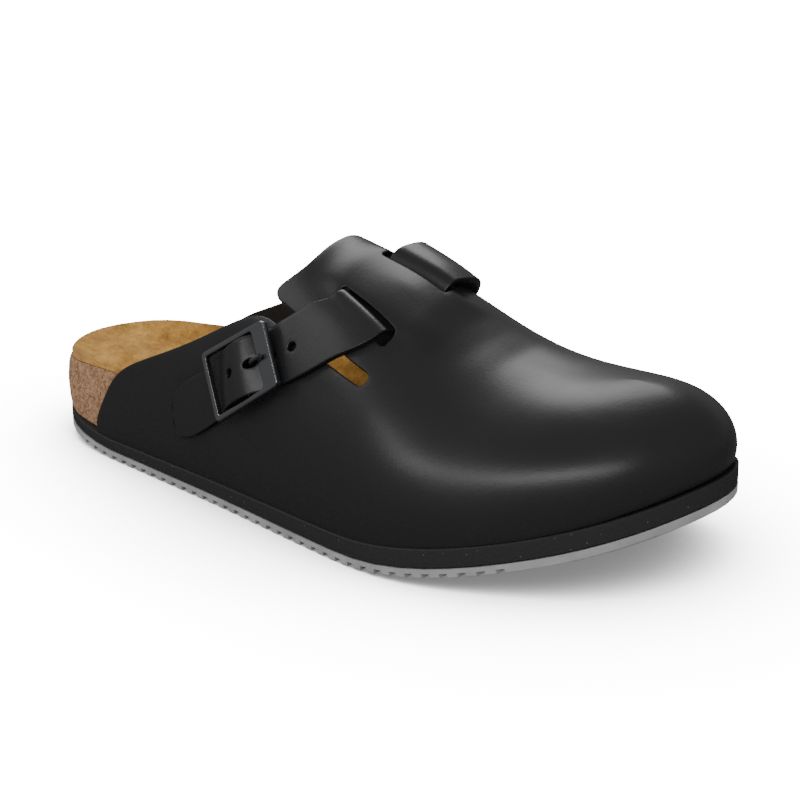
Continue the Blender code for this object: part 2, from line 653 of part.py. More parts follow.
def strap_band():
    # cross lines of the strap's middle surface, evenly spaced along it
    rows = strap_rows()
    mid = rows[:, 2]
    d = np.r_[0, np.cumsum(np.linalg.norm(np.diff(mid, axis=0), axis=1))]
    count = int(d[-1] / STRAP_STEP)
    early = [0, d[1] * 0.45, d[1], (d[1] + d[2]) / 2, d[2]]
    at = np.r_[early, np.linspace(d[2], d[-1], count)[1:]]
    band = np.stack([np.stack([spline(d, rows[:, j, k], at) for k in range(3)], -1)
                     for j in range(5)], 1)
    return band, at


def strap_place(s):
    # centre of the strap at a distance from its free end, with its directions along, across and out
    band, at = strap_band()
    middle = np.array([np.interp(s, at, band[:, 2, k]) for k in range(3)])
    ahead = np.array([np.interp(s + 0.001, at, band[:, 2, k]) for k in range(3)])
    k = int(np.argmin(np.abs(at - s)))
    across = Vector(band[k, 4] - band[k, 0]).normalized()
    along = Vector(ahead - middle).normalized()
    out = across.cross(along).normalized()
    if out.z < 0:
        out = -out
    across = out.cross(along).normalized()
    return Vector(middle), along, across, out


def make_strap():
    band, at = strap_band()
    rows, cols = band.shape[:2]
    faces = [(i * cols + j, (i + 1) * cols + j, (i + 1) * cols + j + 1, i * cols + j + 1)
             for i in range(rows - 1) for j in range(cols - 1)]
    made = as_object("strap", mesh_of("strap", band.reshape(-1, 3), faces), LEATHER_MAT)
    wall = made.modifiers.new("leather", "SOLIDIFY")
    wall.thickness = STRAP_THICKNESS
    wall.offset = 0
    wall.use_even_offset = True
    front = FRAME_LENGTH / 2 - FRONT_BAR
    crossing = buckle_frame_matrix() @ Vector((BAR_SHIFT + PRONG_CROSSING * (front - BAR_SHIFT), 0, 0))
    pierced = at[int(np.argmin(np.linalg.norm(band[:, 2] - np.array(crossing), axis=1)))]
    for k in range(HOLES):
        middle, along, across, out = strap_place(pierced + (k - PRONG_HOLE) * HOLE_PITCH)
        m = basis(along, across, out, middle)
        name = f"hole_{k + 1}"
        # the prong pulls its hole long
        long = 2.0 if k == PRONG_HOLE else 1.0
        m = m @ Matrix.Diagonal((long, 1, 1, 1))
        data = cylinder(name, HOLE_DIAMETER / 2, 4 * STRAP_THICKNESS, m)
        boolean(made, as_object(name, data, cutter=True))
    return made


def buckle_frame_matrix():
    # the slide frame's place: above the leather, along the strap
    places = [(np.array(x * SOLE_LENGTH), np.array(t)) for x, t in BUCKLE_PLACE]
    middle, rear, front = (skin(*place) for place in places)
    spot = Vector(middle.tolist())
    out = Vector(skin_normal(*places[0]).tolist())
    along = Vector((front - rear).tolist())
    along = (along - out * along.dot(out)).normalized()
    across = out.cross(along).normalized()
    return basis(along, across, out, spot + out * FRAME_RISE)


def rounded(cx, cy, w, h, r, steps=4):
    points = []
    for sx, sy, start in ((1, 1, 0), (-1, 1, 90), (-1, -1, 180), (1, -1, 270)):
        for k in range(steps + 1):
            a = math.radians(start + 90 * k / steps)
            x, y = cx + sx * (w / 2 - r), cy + sy * (h / 2 - r)
            points.append((x + r * math.cos(a), y + r * math.sin(a)))
    return points


def make_buckle_frame():
    m = buckle_frame_matrix()
    inside = STRAP_WIDTH * STRAP[8][4] + 2 * FRAME_PLAY
    outside = inside + 2 * FRAME_SIDE
    hole_length = FRAME_LENGTH - FRAME_SIDE - FRONT_BAR
    hole_x = (FRAME_SIDE - FRONT_BAR) / 2
    curve = bpy.data.curves.new("buckle_frame", "CURVE")
    curve.dimensions = "2D"
    curve.fill_mode = "BOTH"
    curve.extrude = FRAME_THICKNESS / 2 - FRAME_ROUND
    curve.bevel_depth = FRAME_ROUND
    curve.bevel_resolution = 1
    curve.offset = -FRAME_ROUND
    edge = hole_x + hole_length / 2
    hole = rounded(hole_x, 0, hole_length, inside, WINDOW_CORNER)
    hole = [p for p in hole if p[0] < edge - 1e-5 or abs(p[1]) > REST_WIDTH / 2]
    front = sorted((p for p in hole if p[0] > edge - 1.1 * WINDOW_CORNER), key=lambda p: p[1])
    rest = [p for p in hole if p[0] <= edge - 1.1 * WINDOW_CORNER]
    low = [p for p in front if p[1] < 0]
    top = [p for p in front if p[1] > 0]
    back_top = sorted((p for p in rest if p[1] > 0), key=lambda p: (-p[0], p[1]))
    back_low = sorted((p for p in rest if p[1] < 0), key=lambda p: (p[0], -p[1]))
    prong_rest = [(edge, -REST_WIDTH / 2), (edge + REST_DEPTH, 0.0), (edge, REST_WIDTH / 2)]
    ring = low + prong_rest + top + back_top + back_low
    for points in (rounded(0, 0, FRAME_LENGTH, outside, FRAME_CORNER, 5), ring):
        s = curve.splines.new("POLY")
        s.points.add(len(points) - 1)
        for p, (x, y) in zip(s.points, points):
            p.co = (x, y * (1 - FRAME_TAPER * (x / FRAME_LENGTH + 0.5)), 0, 1)
        s.use_cyclic_u = True
    guide = bpy.data.objects.new("frame_curve", curve)
    CUTTERS.objects.link(guide)
    data = baked(guide, "buckle_frame", weld=1e-5)
    bpy.data.objects.remove(guide, do_unlink=True)
    data.transform(m)
    data.materials.clear()
    made = as_object("buckle_frame", data, METAL)
    turn = Matrix.Rotation(math.pi / 2, 4, "X")
    bar = Matrix.Translation((BAR_SHIFT, 0, bar_height() - FRAME_RISE)) @ turn
    length = (outside - FRAME_SIDE) * (1 - FRAME_TAPER * 0.5)
    other = as_object("centre_bar", cylinder("centre_bar", BAR_DIAMETER / 2, length, m @ bar),
                      cutter=True)
    boolean(made, other, "UNION")
    return made


def tube(name, points, diameter, matrix, mat, resolution=2):
    curve = bpy.data.curves.new(name, "CURVE")
    curve.dimensions = "3D"
    curve.bevel_depth = diameter / 2
    curve.bevel_resolution = resolution
    curve.use_fill_caps = True
    s = curve.splines.new("POLY")
    s.points.add(len(points) - 1)
    for p, co in zip(s.points, points):
        p.co = (*co, 1)
    guide = bpy.data.objects.new(name + "_curve", curve)
    CUTTERS.objects.link(guide)
    data = baked(guide, name, weld=1e-5)
    bpy.data.objects.remove(guide, do_unlink=True)
    data.transform(matrix)
    data.materials.clear()
    return as_object(name, data, mat)


def make_prong():
    low = bar_height() - FRAME_RISE
    r = prong_turn()
    over = FRAME_THICKNESS / 2 + FIT + PRONG_DIAMETER / 2
    points = [(BAR_SHIFT + r * math.cos(math.radians(a)), 0, low + r * math.sin(math.radians(a)))
              for a in range(-40, -275, -20)]
    front = FRAME_LENGTH / 2 - FRONT_BAR
    for along, up in PRONG_PATH:
        points.append((BAR_SHIFT + (front - BAR_SHIFT) * along, 0, low + r + (over - low - r) * up))
    return tube("buckle_prong", points, PRONG_DIAMETER, buckle_frame_matrix(), METAL)


def make_anchor():
    # a short strip folded round the centre bar, on the leather of the wing
    m = buckle_frame_matrix()
    low = bar_height() - FRAME_RISE
    r = BAR_DIAMETER / 2 + FIT + ANCHOR_THICKNESS / 2
    floor = -FRAME_RISE + FIT + ANCHOR_THICKNESS / 2 + 0.0002
    fold = [(BAR_SHIFT + r * math.cos(math.radians(a)), low + r * math.sin(math.radians(a)))
            for a in range(-90, 121, 15)]
    second = floor + ANCHOR_THICKNESS + 0.0001
    lower = [(1.0, 0.0), (0.69, 0.0), (0.345, 0.0002)]
    upper = [(0.62, 0.0009), (0.862, 0.0002), (1.0, 0.0)]
    path = [(BAR_SHIFT - ANCHOR_REACH * back, floor + up) for back, up in lower] + fold
    path += [(BAR_SHIFT - ANCHOR_REACH * back, second + up) for back, up in upper]
    half = STRAP_WIDTH * 0.26
    verts = [(x, -half, z) for x, z in path] + [(x, half, z) for x, z in path]
    n = len(path)
    faces = [(i, i + 1, n + i + 1, n + i) for i in range(n - 1)]
    data = mesh_of("buckle_anchor", verts, faces)
    data.transform(m)
    made = as_object("buckle_anchor", data, LEATHER_MAT)
    wall = made.modifiers.new("leather", "SOLIDIFY")
    wall.thickness = ANCHOR_THICKNESS
    wall.offset = 0
    wall.use_even_offset = True
    gap = m @ Matrix.Translation((BAR_SHIFT + 0.0005, 0, low))
    size = (2 * prong_turn() + 0.0045, PRONG_DIAMETER + 0.0012, 0.0110)
    boolean(made, as_object("prong_gap", box("prong_gap", size, gap @ Matrix.Translation((0, 0, 0.0020))),
                            cutter=True))
    return made


for made in (make_outsole(), make_midsole(), make_footbed(), make_lining(), make_upper(), make_strap(),
             make_buckle_frame(), make_prong(), make_anchor()):
    smooth(made)
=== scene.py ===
import math

import bmesh
import bpy
import numpy as np
from mathutils import Matrix, Vector
from mathutils.geometry import delaunay_2d_cdt


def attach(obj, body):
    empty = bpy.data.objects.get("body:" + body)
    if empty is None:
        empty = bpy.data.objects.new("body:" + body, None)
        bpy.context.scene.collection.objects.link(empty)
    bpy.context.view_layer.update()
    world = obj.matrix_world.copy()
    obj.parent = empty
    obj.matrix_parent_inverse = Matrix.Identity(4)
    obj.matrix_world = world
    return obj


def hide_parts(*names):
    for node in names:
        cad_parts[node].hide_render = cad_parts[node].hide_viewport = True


# Black leather clog for the right foot: toe along +X, inner side of the foot along +Y, +Z up.
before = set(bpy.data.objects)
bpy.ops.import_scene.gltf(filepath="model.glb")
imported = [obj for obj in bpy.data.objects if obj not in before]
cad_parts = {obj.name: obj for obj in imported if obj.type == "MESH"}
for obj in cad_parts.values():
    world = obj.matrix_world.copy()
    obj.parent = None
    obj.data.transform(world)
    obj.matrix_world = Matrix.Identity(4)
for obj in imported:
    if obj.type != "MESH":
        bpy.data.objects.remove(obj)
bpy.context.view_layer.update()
for other in bpy.context.selected_objects:
    other.select_set(False)

# Sizes in metres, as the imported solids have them, but slit and slots a little tighter; x runs from the back
# of the heel
shoe = {
    "length": 0.2864, "ballWidth": 0.108, "heelPad": 0.060, "toeSpring": 0.025, "heelLift": 0.0058,
    "outsole": 0.0036, "midsoleHeel": 0.0044, "midsoleBall": 0.0073, "gap": 0.0003,
    "leather": 0.0022, "instep": 0.0915, "slit": 0.0041, "outerSlot": 0.0068, "innerSlot": 0.0080,
    "slotLength": 0.0266, "bandLift": 0.0018,
}


def hexColour(value):
    # sRGB hex to linear
    parts = [int(value[i:i + 2], 16) / 255 for i in (1, 3, 5)]
    return tuple(c / 12.92 if c <= 0.04045 else ((c + 0.055) / 1.055) ** 2.4 for c in parts) + (1.0,)


def addNode(material, kind, settings=None, links=None):
    # one node with its settings, and links given as input: (node, output)
    tree = material.node_tree
    node = tree.nodes.new(kind)
    for name, value in (settings or {}).items():
        if isinstance(name, int) or (name in node.inputs and not hasattr(node, name)):
            node.inputs[name].default_value = value
        else:
            setattr(node, name, value)
    for name, (source, output) in (links or {}).items():
        tree.links.new(source.outputs[output], node.inputs[name])
    return node


def startMaterial(name, settings):
    made = bpy.data.materials.new(name)
    made.use_nodes = True
    shader = made.node_tree.nodes["Principled BSDF"]
    for socket, value in settings.items():
        shader.inputs[socket].default_value = value
    return made, shader, addNode(made, "ShaderNodeTexCoord")


def joinNode(material, source, output, target, socket):
    material.node_tree.links.new(source.outputs[output], target.inputs[socket])


def colourRamp(material, stops, source, output):
    ramp = addNode(material, "ShaderNodeValToRGB", links={"Fac": (source, output)})
    while len(ramp.color_ramp.elements) < len(stops):
        ramp.color_ramp.elements.new(0.5)
    for element, (place, colour) in zip(ramp.color_ramp.elements, stops):
        element.position = place
        element.color = hexColour(colour) if isinstance(colour, str) else (colour, colour, colour, 1)
    return ramp


# Smooth full-grain leather, dyed through and polished: black, semi-gloss, faint pores, uneven gloss
polish = {"colour": "#1d1d1e", "gloss": 0.325, "grainMm": 0.9, "creaseMm": 2.6,
          "grainDepth": 0.05, "mottleMm": 34}


def makeLeather():
    made, shader, place = startMaterial("polished_black_leather", {
        "Base Color": hexColour(polish["colour"]), "IOR": 1.45, "Specular IOR Level": 0.38})
    cloud = addNode(made, "ShaderNodeTexNoise", {"Scale": 1000 / polish["mottleMm"], "Detail": 3.0},
                    {"Vector": (place, "Object")})
    rough = addNode(made, "ShaderNodeMapRange", {"From Min": 0.3, "From Max": 0.7,
                    "To Min": polish["gloss"] - 0.035, "To Max": polish["gloss"] + 0.05},
                    {"Value": (cloud, "Fac")})
    joinNode(made, rough, "Result", shader, "Roughness")
    pores = addNode(made, "ShaderNodeTexVoronoi", {"Scale": 1000 / polish["grainMm"],
                    "feature": "SMOOTH_F1"},
                    {"Vector": (place, "Object")})
    fine = addNode(made, "ShaderNodeTexNoise", {"Scale": 1000 / polish["creaseMm"], "Detail": 5.0},
                   {"Vector": (place, "Object")})
    both = addNode(made, "ShaderNodeMath", {"operation": "ADD"}, {0: (pores, "Distance"), 1: (fine, "Fac")})
    bump = addNode(made, "ShaderNodeBump", {"Strength": polish["grainDepth"], "Distance": 0.0004},
                   {"Height": (both, "Value")})
    joinNode(made, bump, "Normal", shader, "Normal")
    return made


# Cut and dyed edge of the same hide: matt, slightly browner, with lengthways fibres
edgeDye = {"colour": "#111010", "fibreMm": 0.5}


def makeEdge():
    made, shader, place = startMaterial("dyed_leather_edge", {
        "Base Color": hexColour(edgeDye["colour"]), "IOR": 1.45, "Specular IOR Level": 0.45,
        "Roughness": 0.42})
    fibres = addNode(made, "ShaderNodeTexNoise", {"Scale": 1000 / edgeDye["fibreMm"] / 4, "Detail": 4.0},
                     {"Vector": (place, "Object")})
    bump = addNode(made, "ShaderNodeBump", {"Strength": 0.25, "Distance": 0.0003},
                   {"Height": (fibres, "Fac")})
    joinNode(made, bump, "Normal", shader, "Normal")
    return made


# Flesh side of the hide, left unlined: dark, napped, without gloss
flesh = {"dark": "#0c0c0c", "light": "#161615", "napMm": 1.2}


def makeFlesh():
    made, shader, place = startMaterial("napped_flesh_side", {
        "Roughness": 0.95, "Specular IOR Level": 0.2, "Sheen Weight": 0.05, "Sheen Roughness": 0.6})
    nap = addNode(made, "ShaderNodeTexNoise", {"Scale": 1000 / flesh["napMm"] / 3, "Detail": 8.0},
                  {"Vector": (place, "Object")})
    ramp = colourRamp(made, [(0.35, flesh["dark"]), (0.65, flesh["light"])], nap, "Fac")
    joinNode(made, ramp, "Color", shader, "Base Color")
    bump = addNode(made, "ShaderNodeBump", {"Strength": 0.4, "Distance": 0.0003}, {"Height": (nap, "Fac")})
    joinNode(made, bump, "Normal", shader, "Normal")
    return made


# Pressed cork granules, sanded: warm brown grains of 1 to 2 mm with dark specks and small pits
cork = {"grains": ["#745339", "#8a6849", "#98775a", "#7d5d45"], "specks": "#4c3424", "grainMm": 1.3}


def makeCork():
    made, shader, place = startMaterial("pressed_cork", {"Roughness": 0.82, "Specular IOR Level": 0.3})
    warp = addNode(made, "ShaderNodeTexNoise", {"Scale": 1000 / 3.0, "Detail": 2.0},
                   {"Vector": (place, "Object")})
    bent = addNode(made, "ShaderNodeVectorMath", {"operation": "MULTIPLY_ADD", 1: (0.0012, 0.0012, 0.0012)},
                   {0: (warp, "Color"), 2: (place, "Object")})
    grain = addNode(made, "ShaderNodeTexVoronoi", {"Scale": 1000 / cork["grainMm"]},
                    {"Vector": (bent, "Vector")})
    apart = addNode(made, "ShaderNodeSeparateColor", links={"Color": (grain, "Color")})
    g = cork["grains"]
    tone = colourRamp(made, [(0.0, g[0]), (0.35, g[1]), (0.7, g[2]), (1.0, g[3])], apart, "Red")
    fine = addNode(made, "ShaderNodeTexVoronoi", {"Scale": 1000 / (0.45 * cork["grainMm"])},
                   {"Vector": (bent, "Vector")})
    fineApart = addNode(made, "ShaderNodeSeparateColor", links={"Color": (fine, "Color")})
    speck = addNode(made, "ShaderNodeMapRange", {"From Min": 0.86, "From Max": 0.93, "To Max": 0.75},
                    {"Value": (fineApart, "Green")})
    mixed = addNode(made, "ShaderNodeMixRGB", {"Color2": hexColour(cork["specks"])},
                    {"Fac": (speck, "Result"), "Color1": (tone, "Color")})
    edges = addNode(made, "ShaderNodeTexVoronoi", {"Scale": 1000 / cork["grainMm"],
                    "feature": "DISTANCE_TO_EDGE"},
                    {"Vector": (bent, "Vector")})
    seam = addNode(made, "ShaderNodeMapRange", {"From Max": 0.10, "To Min": 0.78, "To Max": 1.0},
                   {"Value": (edges, "Distance")})
    final = addNode(made, "ShaderNodeMixRGB", {"blend_type": "MULTIPLY", "Fac": 1.0},
                    {"Color1": (mixed, "Color"), "Color2": (seam, "Result")})
    joinNode(made, final, "Color", shader, "Base Color")
    height = addNode(made, "ShaderNodeMath", {"operation": "SUBTRACT"},
                     {0: (seam, "Result"), 1: (speck, "Result")})
    bump = addNode(made, "ShaderNodeBump", {"Strength": 0.5, "Distance": 0.0004},
                   {"Height": (height, "Value")})
    joinNode(made, bump, "Normal", shader, "Normal")
    return made


# Suede footbed cover: tan split leather with a short brushed nap, mottled where it was stroked
suede = {"dark": "#7c5626", "middle": "#9c7236", "light": "#b98d4a", "patchMm": 9, "napMm": 1.0}


def makeSuede():
    made, shader, place = startMaterial("tan_suede_cover", {
        "Roughness": 0.95, "Specular IOR Level": 0.15, "Sheen Weight": 0.06, "Sheen Roughness": 0.5})
    patch = addNode(made, "ShaderNodeTexNoise", {"Scale": 1000 / suede["patchMm"], "Detail": 6.0,
                    "Roughness": 0.65},
                    {"Vector": (place, "Object")})
    tones = [(0.30, suede["dark"]), (0.5, suede["middle"]), (0.72, suede["light"])]
    ramp = colourRamp(made, tones, patch, "Fac")
    nap = addNode(made, "ShaderNodeTexNoise", {"Scale": 1000 / suede["napMm"], "Detail": 6.0},
                  {"Vector": (place, "Object")})
    shade = addNode(made, "ShaderNodeMapRange", {"From Min": 0.3, "From Max": 0.7,
                    "To Min": 0.80, "To Max": 1.12},
                    {"Value": (nap, "Fac")})
    final = addNode(made, "ShaderNodeMixRGB", {"blend_type": "MULTIPLY", "Fac": 1.0},
                    {"Color1": (ramp, "Color"), "Color2": (shade, "Result")})
    joinNode(made, final, "Color", shader, "Base Color")
    bump = addNode(made, "ShaderNodeBump", {"Strength": 0.35, "Distance": 0.0004}, {"Height": (nap, "Fac")})
    joinNode(made, bump, "Normal", shader, "Normal")
    return made


# Closed-cell foam cut from a sheet: near black, matt, with tiny open cells; a few are coloured lighter as
# painted glints, where they would catch light
foam = {"colour": "#222223", "paintedGlint": "#4a4b4e", "cellMm": 1.1}


def makeFoam():
    made, shader, place = startMaterial("black_eva_foam", {"Roughness": 0.62, "Specular IOR Level": 0.32})
    cells = addNode(made, "ShaderNodeTexVoronoi", {"Scale": 1000 / foam["cellMm"]},
                    {"Vector": (place, "Object")})
    apart = addNode(made, "ShaderNodeSeparateColor", links={"Color": (cells, "Color")})
    # painted glints: a rare few cells get the lighter colour near their centres
    rare = addNode(made, "ShaderNodeMath", {"operation": "GREATER_THAN", 1: 0.975}, {0: (apart, "Red")})
    near = addNode(made, "ShaderNodeMath", {"operation": "LESS_THAN", 1: 0.22}, {0: (cells, "Distance")})
    spot = addNode(made, "ShaderNodeMath", {"operation": "MULTIPLY"},
                   {0: (rare, "Value"), 1: (near, "Value")})
    mixed = addNode(made, "ShaderNodeMixRGB", {"Color1": hexColour(foam["colour"]),
                    "Color2": hexColour(foam["paintedGlint"])},
                    {"Fac": (spot, "Value")})
    joinNode(made, mixed, "Color", shader, "Base Color")
    bump = addNode(made, "ShaderNodeBump", {"Strength": 0.3, "Distance": 0.0003},
                   {"Height": (cells, "Distance")})
    joinNode(made, bump, "Normal", shader, "Normal")
    return made


# Moulded rubber with a dry bloom: mid grey, matt, a little cloudy
rubber = {"dark": "#7c7c7d", "light": "#8d8d8e", "cloudMm": 12, "dustMm": 0.8}


def makeRubber():
    made, shader, place = startMaterial("moulded_grey_rubber", {
        "Roughness": 0.6, "Specular IOR Level": 0.4})
    cloud = addNode(made, "ShaderNodeTexNoise", {"Scale": 1000 / rubber["cloudMm"], "Detail": 5.0},
                    {"Vector": (place, "Object")})
    ramp = colourRamp(made, [(0.35, rubber["dark"]), (0.65, rubber["light"])], cloud, "Fac")
    joinNode(made, ramp, "Color", shader, "Base Color")
    dust = addNode(made, "ShaderNodeTexNoise", {"Scale": 1000 / rubber["dustMm"], "Detail": 3.0},
                   {"Vector": (place, "Object")})
    bump = addNode(made, "ShaderNodeBump", {"Strength": 0.15, "Distance": 0.0002},
                   {"Height": (dust, "Fac")})
    joinNode(made, bump, "Normal", shader, "Normal")
    return made


# Zinc casting with black nickel plating: dark mirror gloss, brighter where the edges are polished
plating = {"colour": "#87888c", "gloss": 0.22, "smearMm": 6.0}


def makeMetal():
    made, shader, place = startMaterial("black_nickel_plating", {"Metallic": 1.0,
                                        "Base Color": hexColour(plating["colour"])})
    smear = addNode(made, "ShaderNodeTexNoise", {"Scale": 1000 / plating["smearMm"], "Detail": 4.0},
                    {"Vector": (place, "Object")})
    rough = addNode(made, "ShaderNodeMapRange", {"To Min": plating["gloss"] - 0.05,
                    "To Max": plating["gloss"] + 0.1},
                    {"Value": (smear, "Fac")})
    joinNode(made, rough, "Result", shader, "Roughness")
    return made


leather, dyedEdge, fleshSide = makeLeather(), makeEdge(), makeFlesh()
corkMix, suedeCover, foamBlock = makeCork(), makeSuede(), makeFoam()
soleRubber, nickel = makeRubber(), makeMetal()
print("materials made")


def naturalCurve(xs, ys, at):
    # smooth curve through a table, read at the given places
    xs, ys, at = np.asarray(xs, float), np.asarray(ys, float), np.asarray(at, float)
    n, h = len(xs), np.diff(xs)
    a, b = np.eye(n), np.zeros(n)
    for i in range(1, n - 1):
        a[i, i - 1:i + 2] = h[i - 1], 2 * (h[i - 1] + h[i]), h[i]
        b[i] = 6 * ((ys[i + 1] - ys[i]) / h[i] - (ys[i] - ys[i - 1]) / h[i - 1])
    m = np.linalg.solve(a, b)
    k = np.clip(np.searchsorted(xs, at) - 1, 0, n - 2)
    u, v = at - xs[k], xs[k + 1] - at
    return ((m[k] * v ** 3 + m[k + 1] * u ** 3) / (6 * h[k]) + (ys[k] / h[k] - m[k] * h[k] / 6) * v
            + (ys[k + 1] / h[k] - m[k + 1] * h[k] / 6) * u)


def curveThrough(points, at=None, count=None):
    p = np.asarray(points, float)
    d = np.r_[0, np.cumsum(np.linalg.norm(np.diff(p, axis=0), axis=1))]
    t = np.linspace(0, d[-1], count) if at is None else at
    return np.stack([naturalCurve(d, p[:, k], t) for k in range(p.shape[1])], 1)


# Sole outline: share of the length, outer side and inner side in shares of the ball width
outlineTable = [
    (0.046, 0.228, 0.245), (0.098, 0.291, 0.310), (0.175, 0.331, 0.330), (0.263, 0.368, 0.328),
    (0.368, 0.413, 0.326), (0.474, 0.466, 0.358), (0.579, 0.518, 0.415), (0.667, 0.543, 0.461),
    (0.744, 0.510, 0.485), (0.825, 0.427, 0.474), (0.895, 0.325, 0.440), (0.947, 0.200, 0.378),
    (0.982, 0.056, 0.268),
]
# Last: share of the length, height, crest's place, roundness across and upward, swell at the sole edge
lastTable = [
    (0.211, 1.090, -0.020, 2.00, 2.00, 0.68), (0.351, 1.086, 0.000, 2.00, 2.00, 0.68),
    (0.439, 1.078, 0.010, 2.08, 2.06, 0.68), (0.526, 1.000, 0.019, 2.20, 2.16, 0.68),
    (0.596, 0.926, 0.027, 2.30, 2.24, 0.67), (0.667, 0.806, 0.041, 2.34, 2.34, 0.66),
    (0.737, 0.710, 0.055, 2.31, 2.48, 0.64), (0.807, 0.680, 0.068, 2.27, 2.62, 0.62),
    (0.871, 0.693, 0.080, 2.24, 2.72, 0.61),
]
wingTable = [(0.128, 0.060), (0.121, 0.130), (0.131, 0.210), (0.146, 0.285), (0.163, 0.365), (0.184, 0.430),
             (0.216, 0.490), (0.260, 0.555), (0.310, 0.632), (0.360, 0.718), (0.398, 0.782), (0.422, 0.808),
             (0.440, 0.812), (0.456, 0.800)]
tongueTable = [(0.462, 0.868), (0.447, 0.882), (0.441, 0.908), (0.447, 0.938), (0.459, 0.975),
               (0.467, 1.015), (0.470, 1.060)]
slitEnd = (0.6090, 0.6955)
outerSlotEdge = ((0.5258, -0.192), (0.6213, -0.236))  # the edge nearest the crest, in plan
innerSlotEdge = ((0.528, 0.006), (0.6235, 0.020))
soleLength, ballWidth = shoe["length"], shoe["ballWidth"]


def soleRun():
    outer = [(x * soleLength, -o * ballWidth) for x, o, i in outlineTable]
    inner = [(x * soleLength, i * ballWidth) for x, o, i in outlineTable]
    ring = [(0.0, 0.0)] + outer + [(soleLength, 0.105 * ballWidth)] + inner[::-1]
    n = len(ring)
    p = np.array(ring[-3:] + ring + ring[:4])
    d = np.r_[0, np.cumsum(np.linalg.norm(np.diff(p, axis=0), axis=1))]
    run = curveThrough(p, at=np.linspace(d[3], d[3 + n], 2400, endpoint=False))
    run[:, 0] = np.interp(run[:, 0], [run[:, 0].min(), run[:, 0].max()], [0, soleLength])
    return np.roll(run, -int(np.argmin(run[:, 0])), axis=0)


run = soleRun()
tip = int(np.argmax(run[:, 0]))
tangent = np.roll(run, -1, axis=0) - np.roll(run, 1, axis=0)
outward = np.c_[tangent[:, 1], -tangent[:, 0]] / np.linalg.norm(tangent, axis=1)[:, None]


def soleSide(x, outer):
    # point of the outline and its outward direction on one side
    keep = np.arange(0, tip + 1) if outer else np.r_[np.arange(tip, len(run)), 0][::-1]
    xs = np.maximum.accumulate(run[keep, 0])
    x = np.clip(x, 0, soleLength)
    p = np.stack([np.interp(x, xs, run[keep, k]) for k in (0, 1)], -1)
    n = np.stack([np.interp(x, xs, outward[keep, k]) for k in (0, 1)], -1)
    p[..., 0] = x
    return p, n / np.linalg.norm(n, axis=-1, keepdims=True)


def groundHeight(x):
    toe = np.clip((x - 0.60 * soleLength) / (0.40 * soleLength), 0, None)
    heel = np.clip(1 - x / (0.158 * soleLength), 0, 1.2)
    return shoe["toeSpring"] * toe ** 1.8 + shoe["heelLift"] * heel ** 1.6


def midsoleTop(x):
    thick = np.interp(x / soleLength, [0.105, 0.70], [shoe["midsoleHeel"], shoe["midsoleBall"]])
    return groundHeight(x) + shoe["outsole"] + shoe["gap"] + thick


def leatherInset(x):
    return np.interp(x / soleLength, [0.842, 0.982], [0.0005, 0.0018])


# Soft forms worked into the leather by hand: share of the length, place around the section, how far each
# reaches along and around, its turn in degrees, and depth in millimetres (a trough is negative)
creaseTable = [
    (0.632, -0.300, 0.016, 0.050, 20, -0.55),
    (0.646, -0.190, 0.020, 0.070, -30, 0.45),
    (0.628, 0.070, 0.014, 0.050, 10, -0.60),
    (0.655, 0.010, 0.022, 0.080, 0, -0.35),
    (0.690, -0.120, 0.020, 0.180, 12, -0.30),
    (0.735, 0.020, 0.020, 0.200, -8, -0.22),
    (0.600, -0.080, 0.030, 0.050, 0, 0.25),
    (0.560, -0.620, 0.050, 0.070, -25, -0.35),
    (0.640, -0.560, 0.045, 0.090, 25, 0.30),
    (0.570, 0.620, 0.050, 0.080, 25, -0.35),
    (0.300, -0.700, 0.050, 0.060, 0, 0.25),
]


def window(value, middle, half, fade):
    s = np.clip((half + fade - np.abs(value - middle)) / fade, 0, 1)
    return s * s * (3 - 2 * s)


def leatherForm(x, t):
    # outer surface of the leather, without the small forms; t is -1 and 1 at the sole and 0 at the crest
    x, t = np.broadcast_arrays(np.asarray(x, float), np.asarray(t, float))
    (a, na), (b, nb) = soleSide(x, True), soleSide(x, False)
    inset = leatherInset(x)[..., None]
    edge = np.where((t < 0)[..., None], a - na * inset, b - nb * inset)
    back = 0.667 * soleLength
    squeeze = 0.129 * soleLength / (soleLength - back) ** 2
    xs = x - squeeze * np.clip(x - back, 0, None) ** 2
    table, at = np.array(lastTable), xs / soleLength
    high, crest, across, up, swell = (naturalCurve(table[:, 0], table[:, k], at) for k in range(1, 6))
    high, crest, swell = high * shoe["instep"], crest * ballWidth, swell * shoe["leather"]
    phi = (1 - np.abs(t)) * math.pi / 2
    along = np.clip(np.cos(phi), 0, 1) ** (2 / across)
    rise = np.sin(phi) ** (2 / up)
    top = np.stack([xs, crest], -1)
    away = edge - top
    reach = np.linalg.norm(away, axis=-1)
    out = reach * along + swell * 6.75 * rise * (1 - rise) ** 2
    flat = top + away / reach[..., None] * out[..., None]
    low = midsoleTop(x)
    pushed = shoe["bandLift"] * window(at, 0.575, 0.050, 0.045) * window(t, -0.10, 0.13, 0.10)
    return np.concatenate([flat, (low + (high - low) * rise + pushed)[..., None]], -1)


def formNormal(x, t):
    ahead = np.minimum(x + 0.0005, soleLength)
    dx = leatherForm(ahead, t) - leatherForm(ahead - 0.001, t)
    dt = leatherForm(x, np.minimum(t + 0.008, 1)) - leatherForm(x, np.maximum(t - 0.008, -1))
    n = np.cross(dx, dt)
    n = n / np.maximum(np.linalg.norm(n, axis=-1, keepdims=True), 1e-12)
    return np.where(n[..., 2:] < -0.5, -n, n)


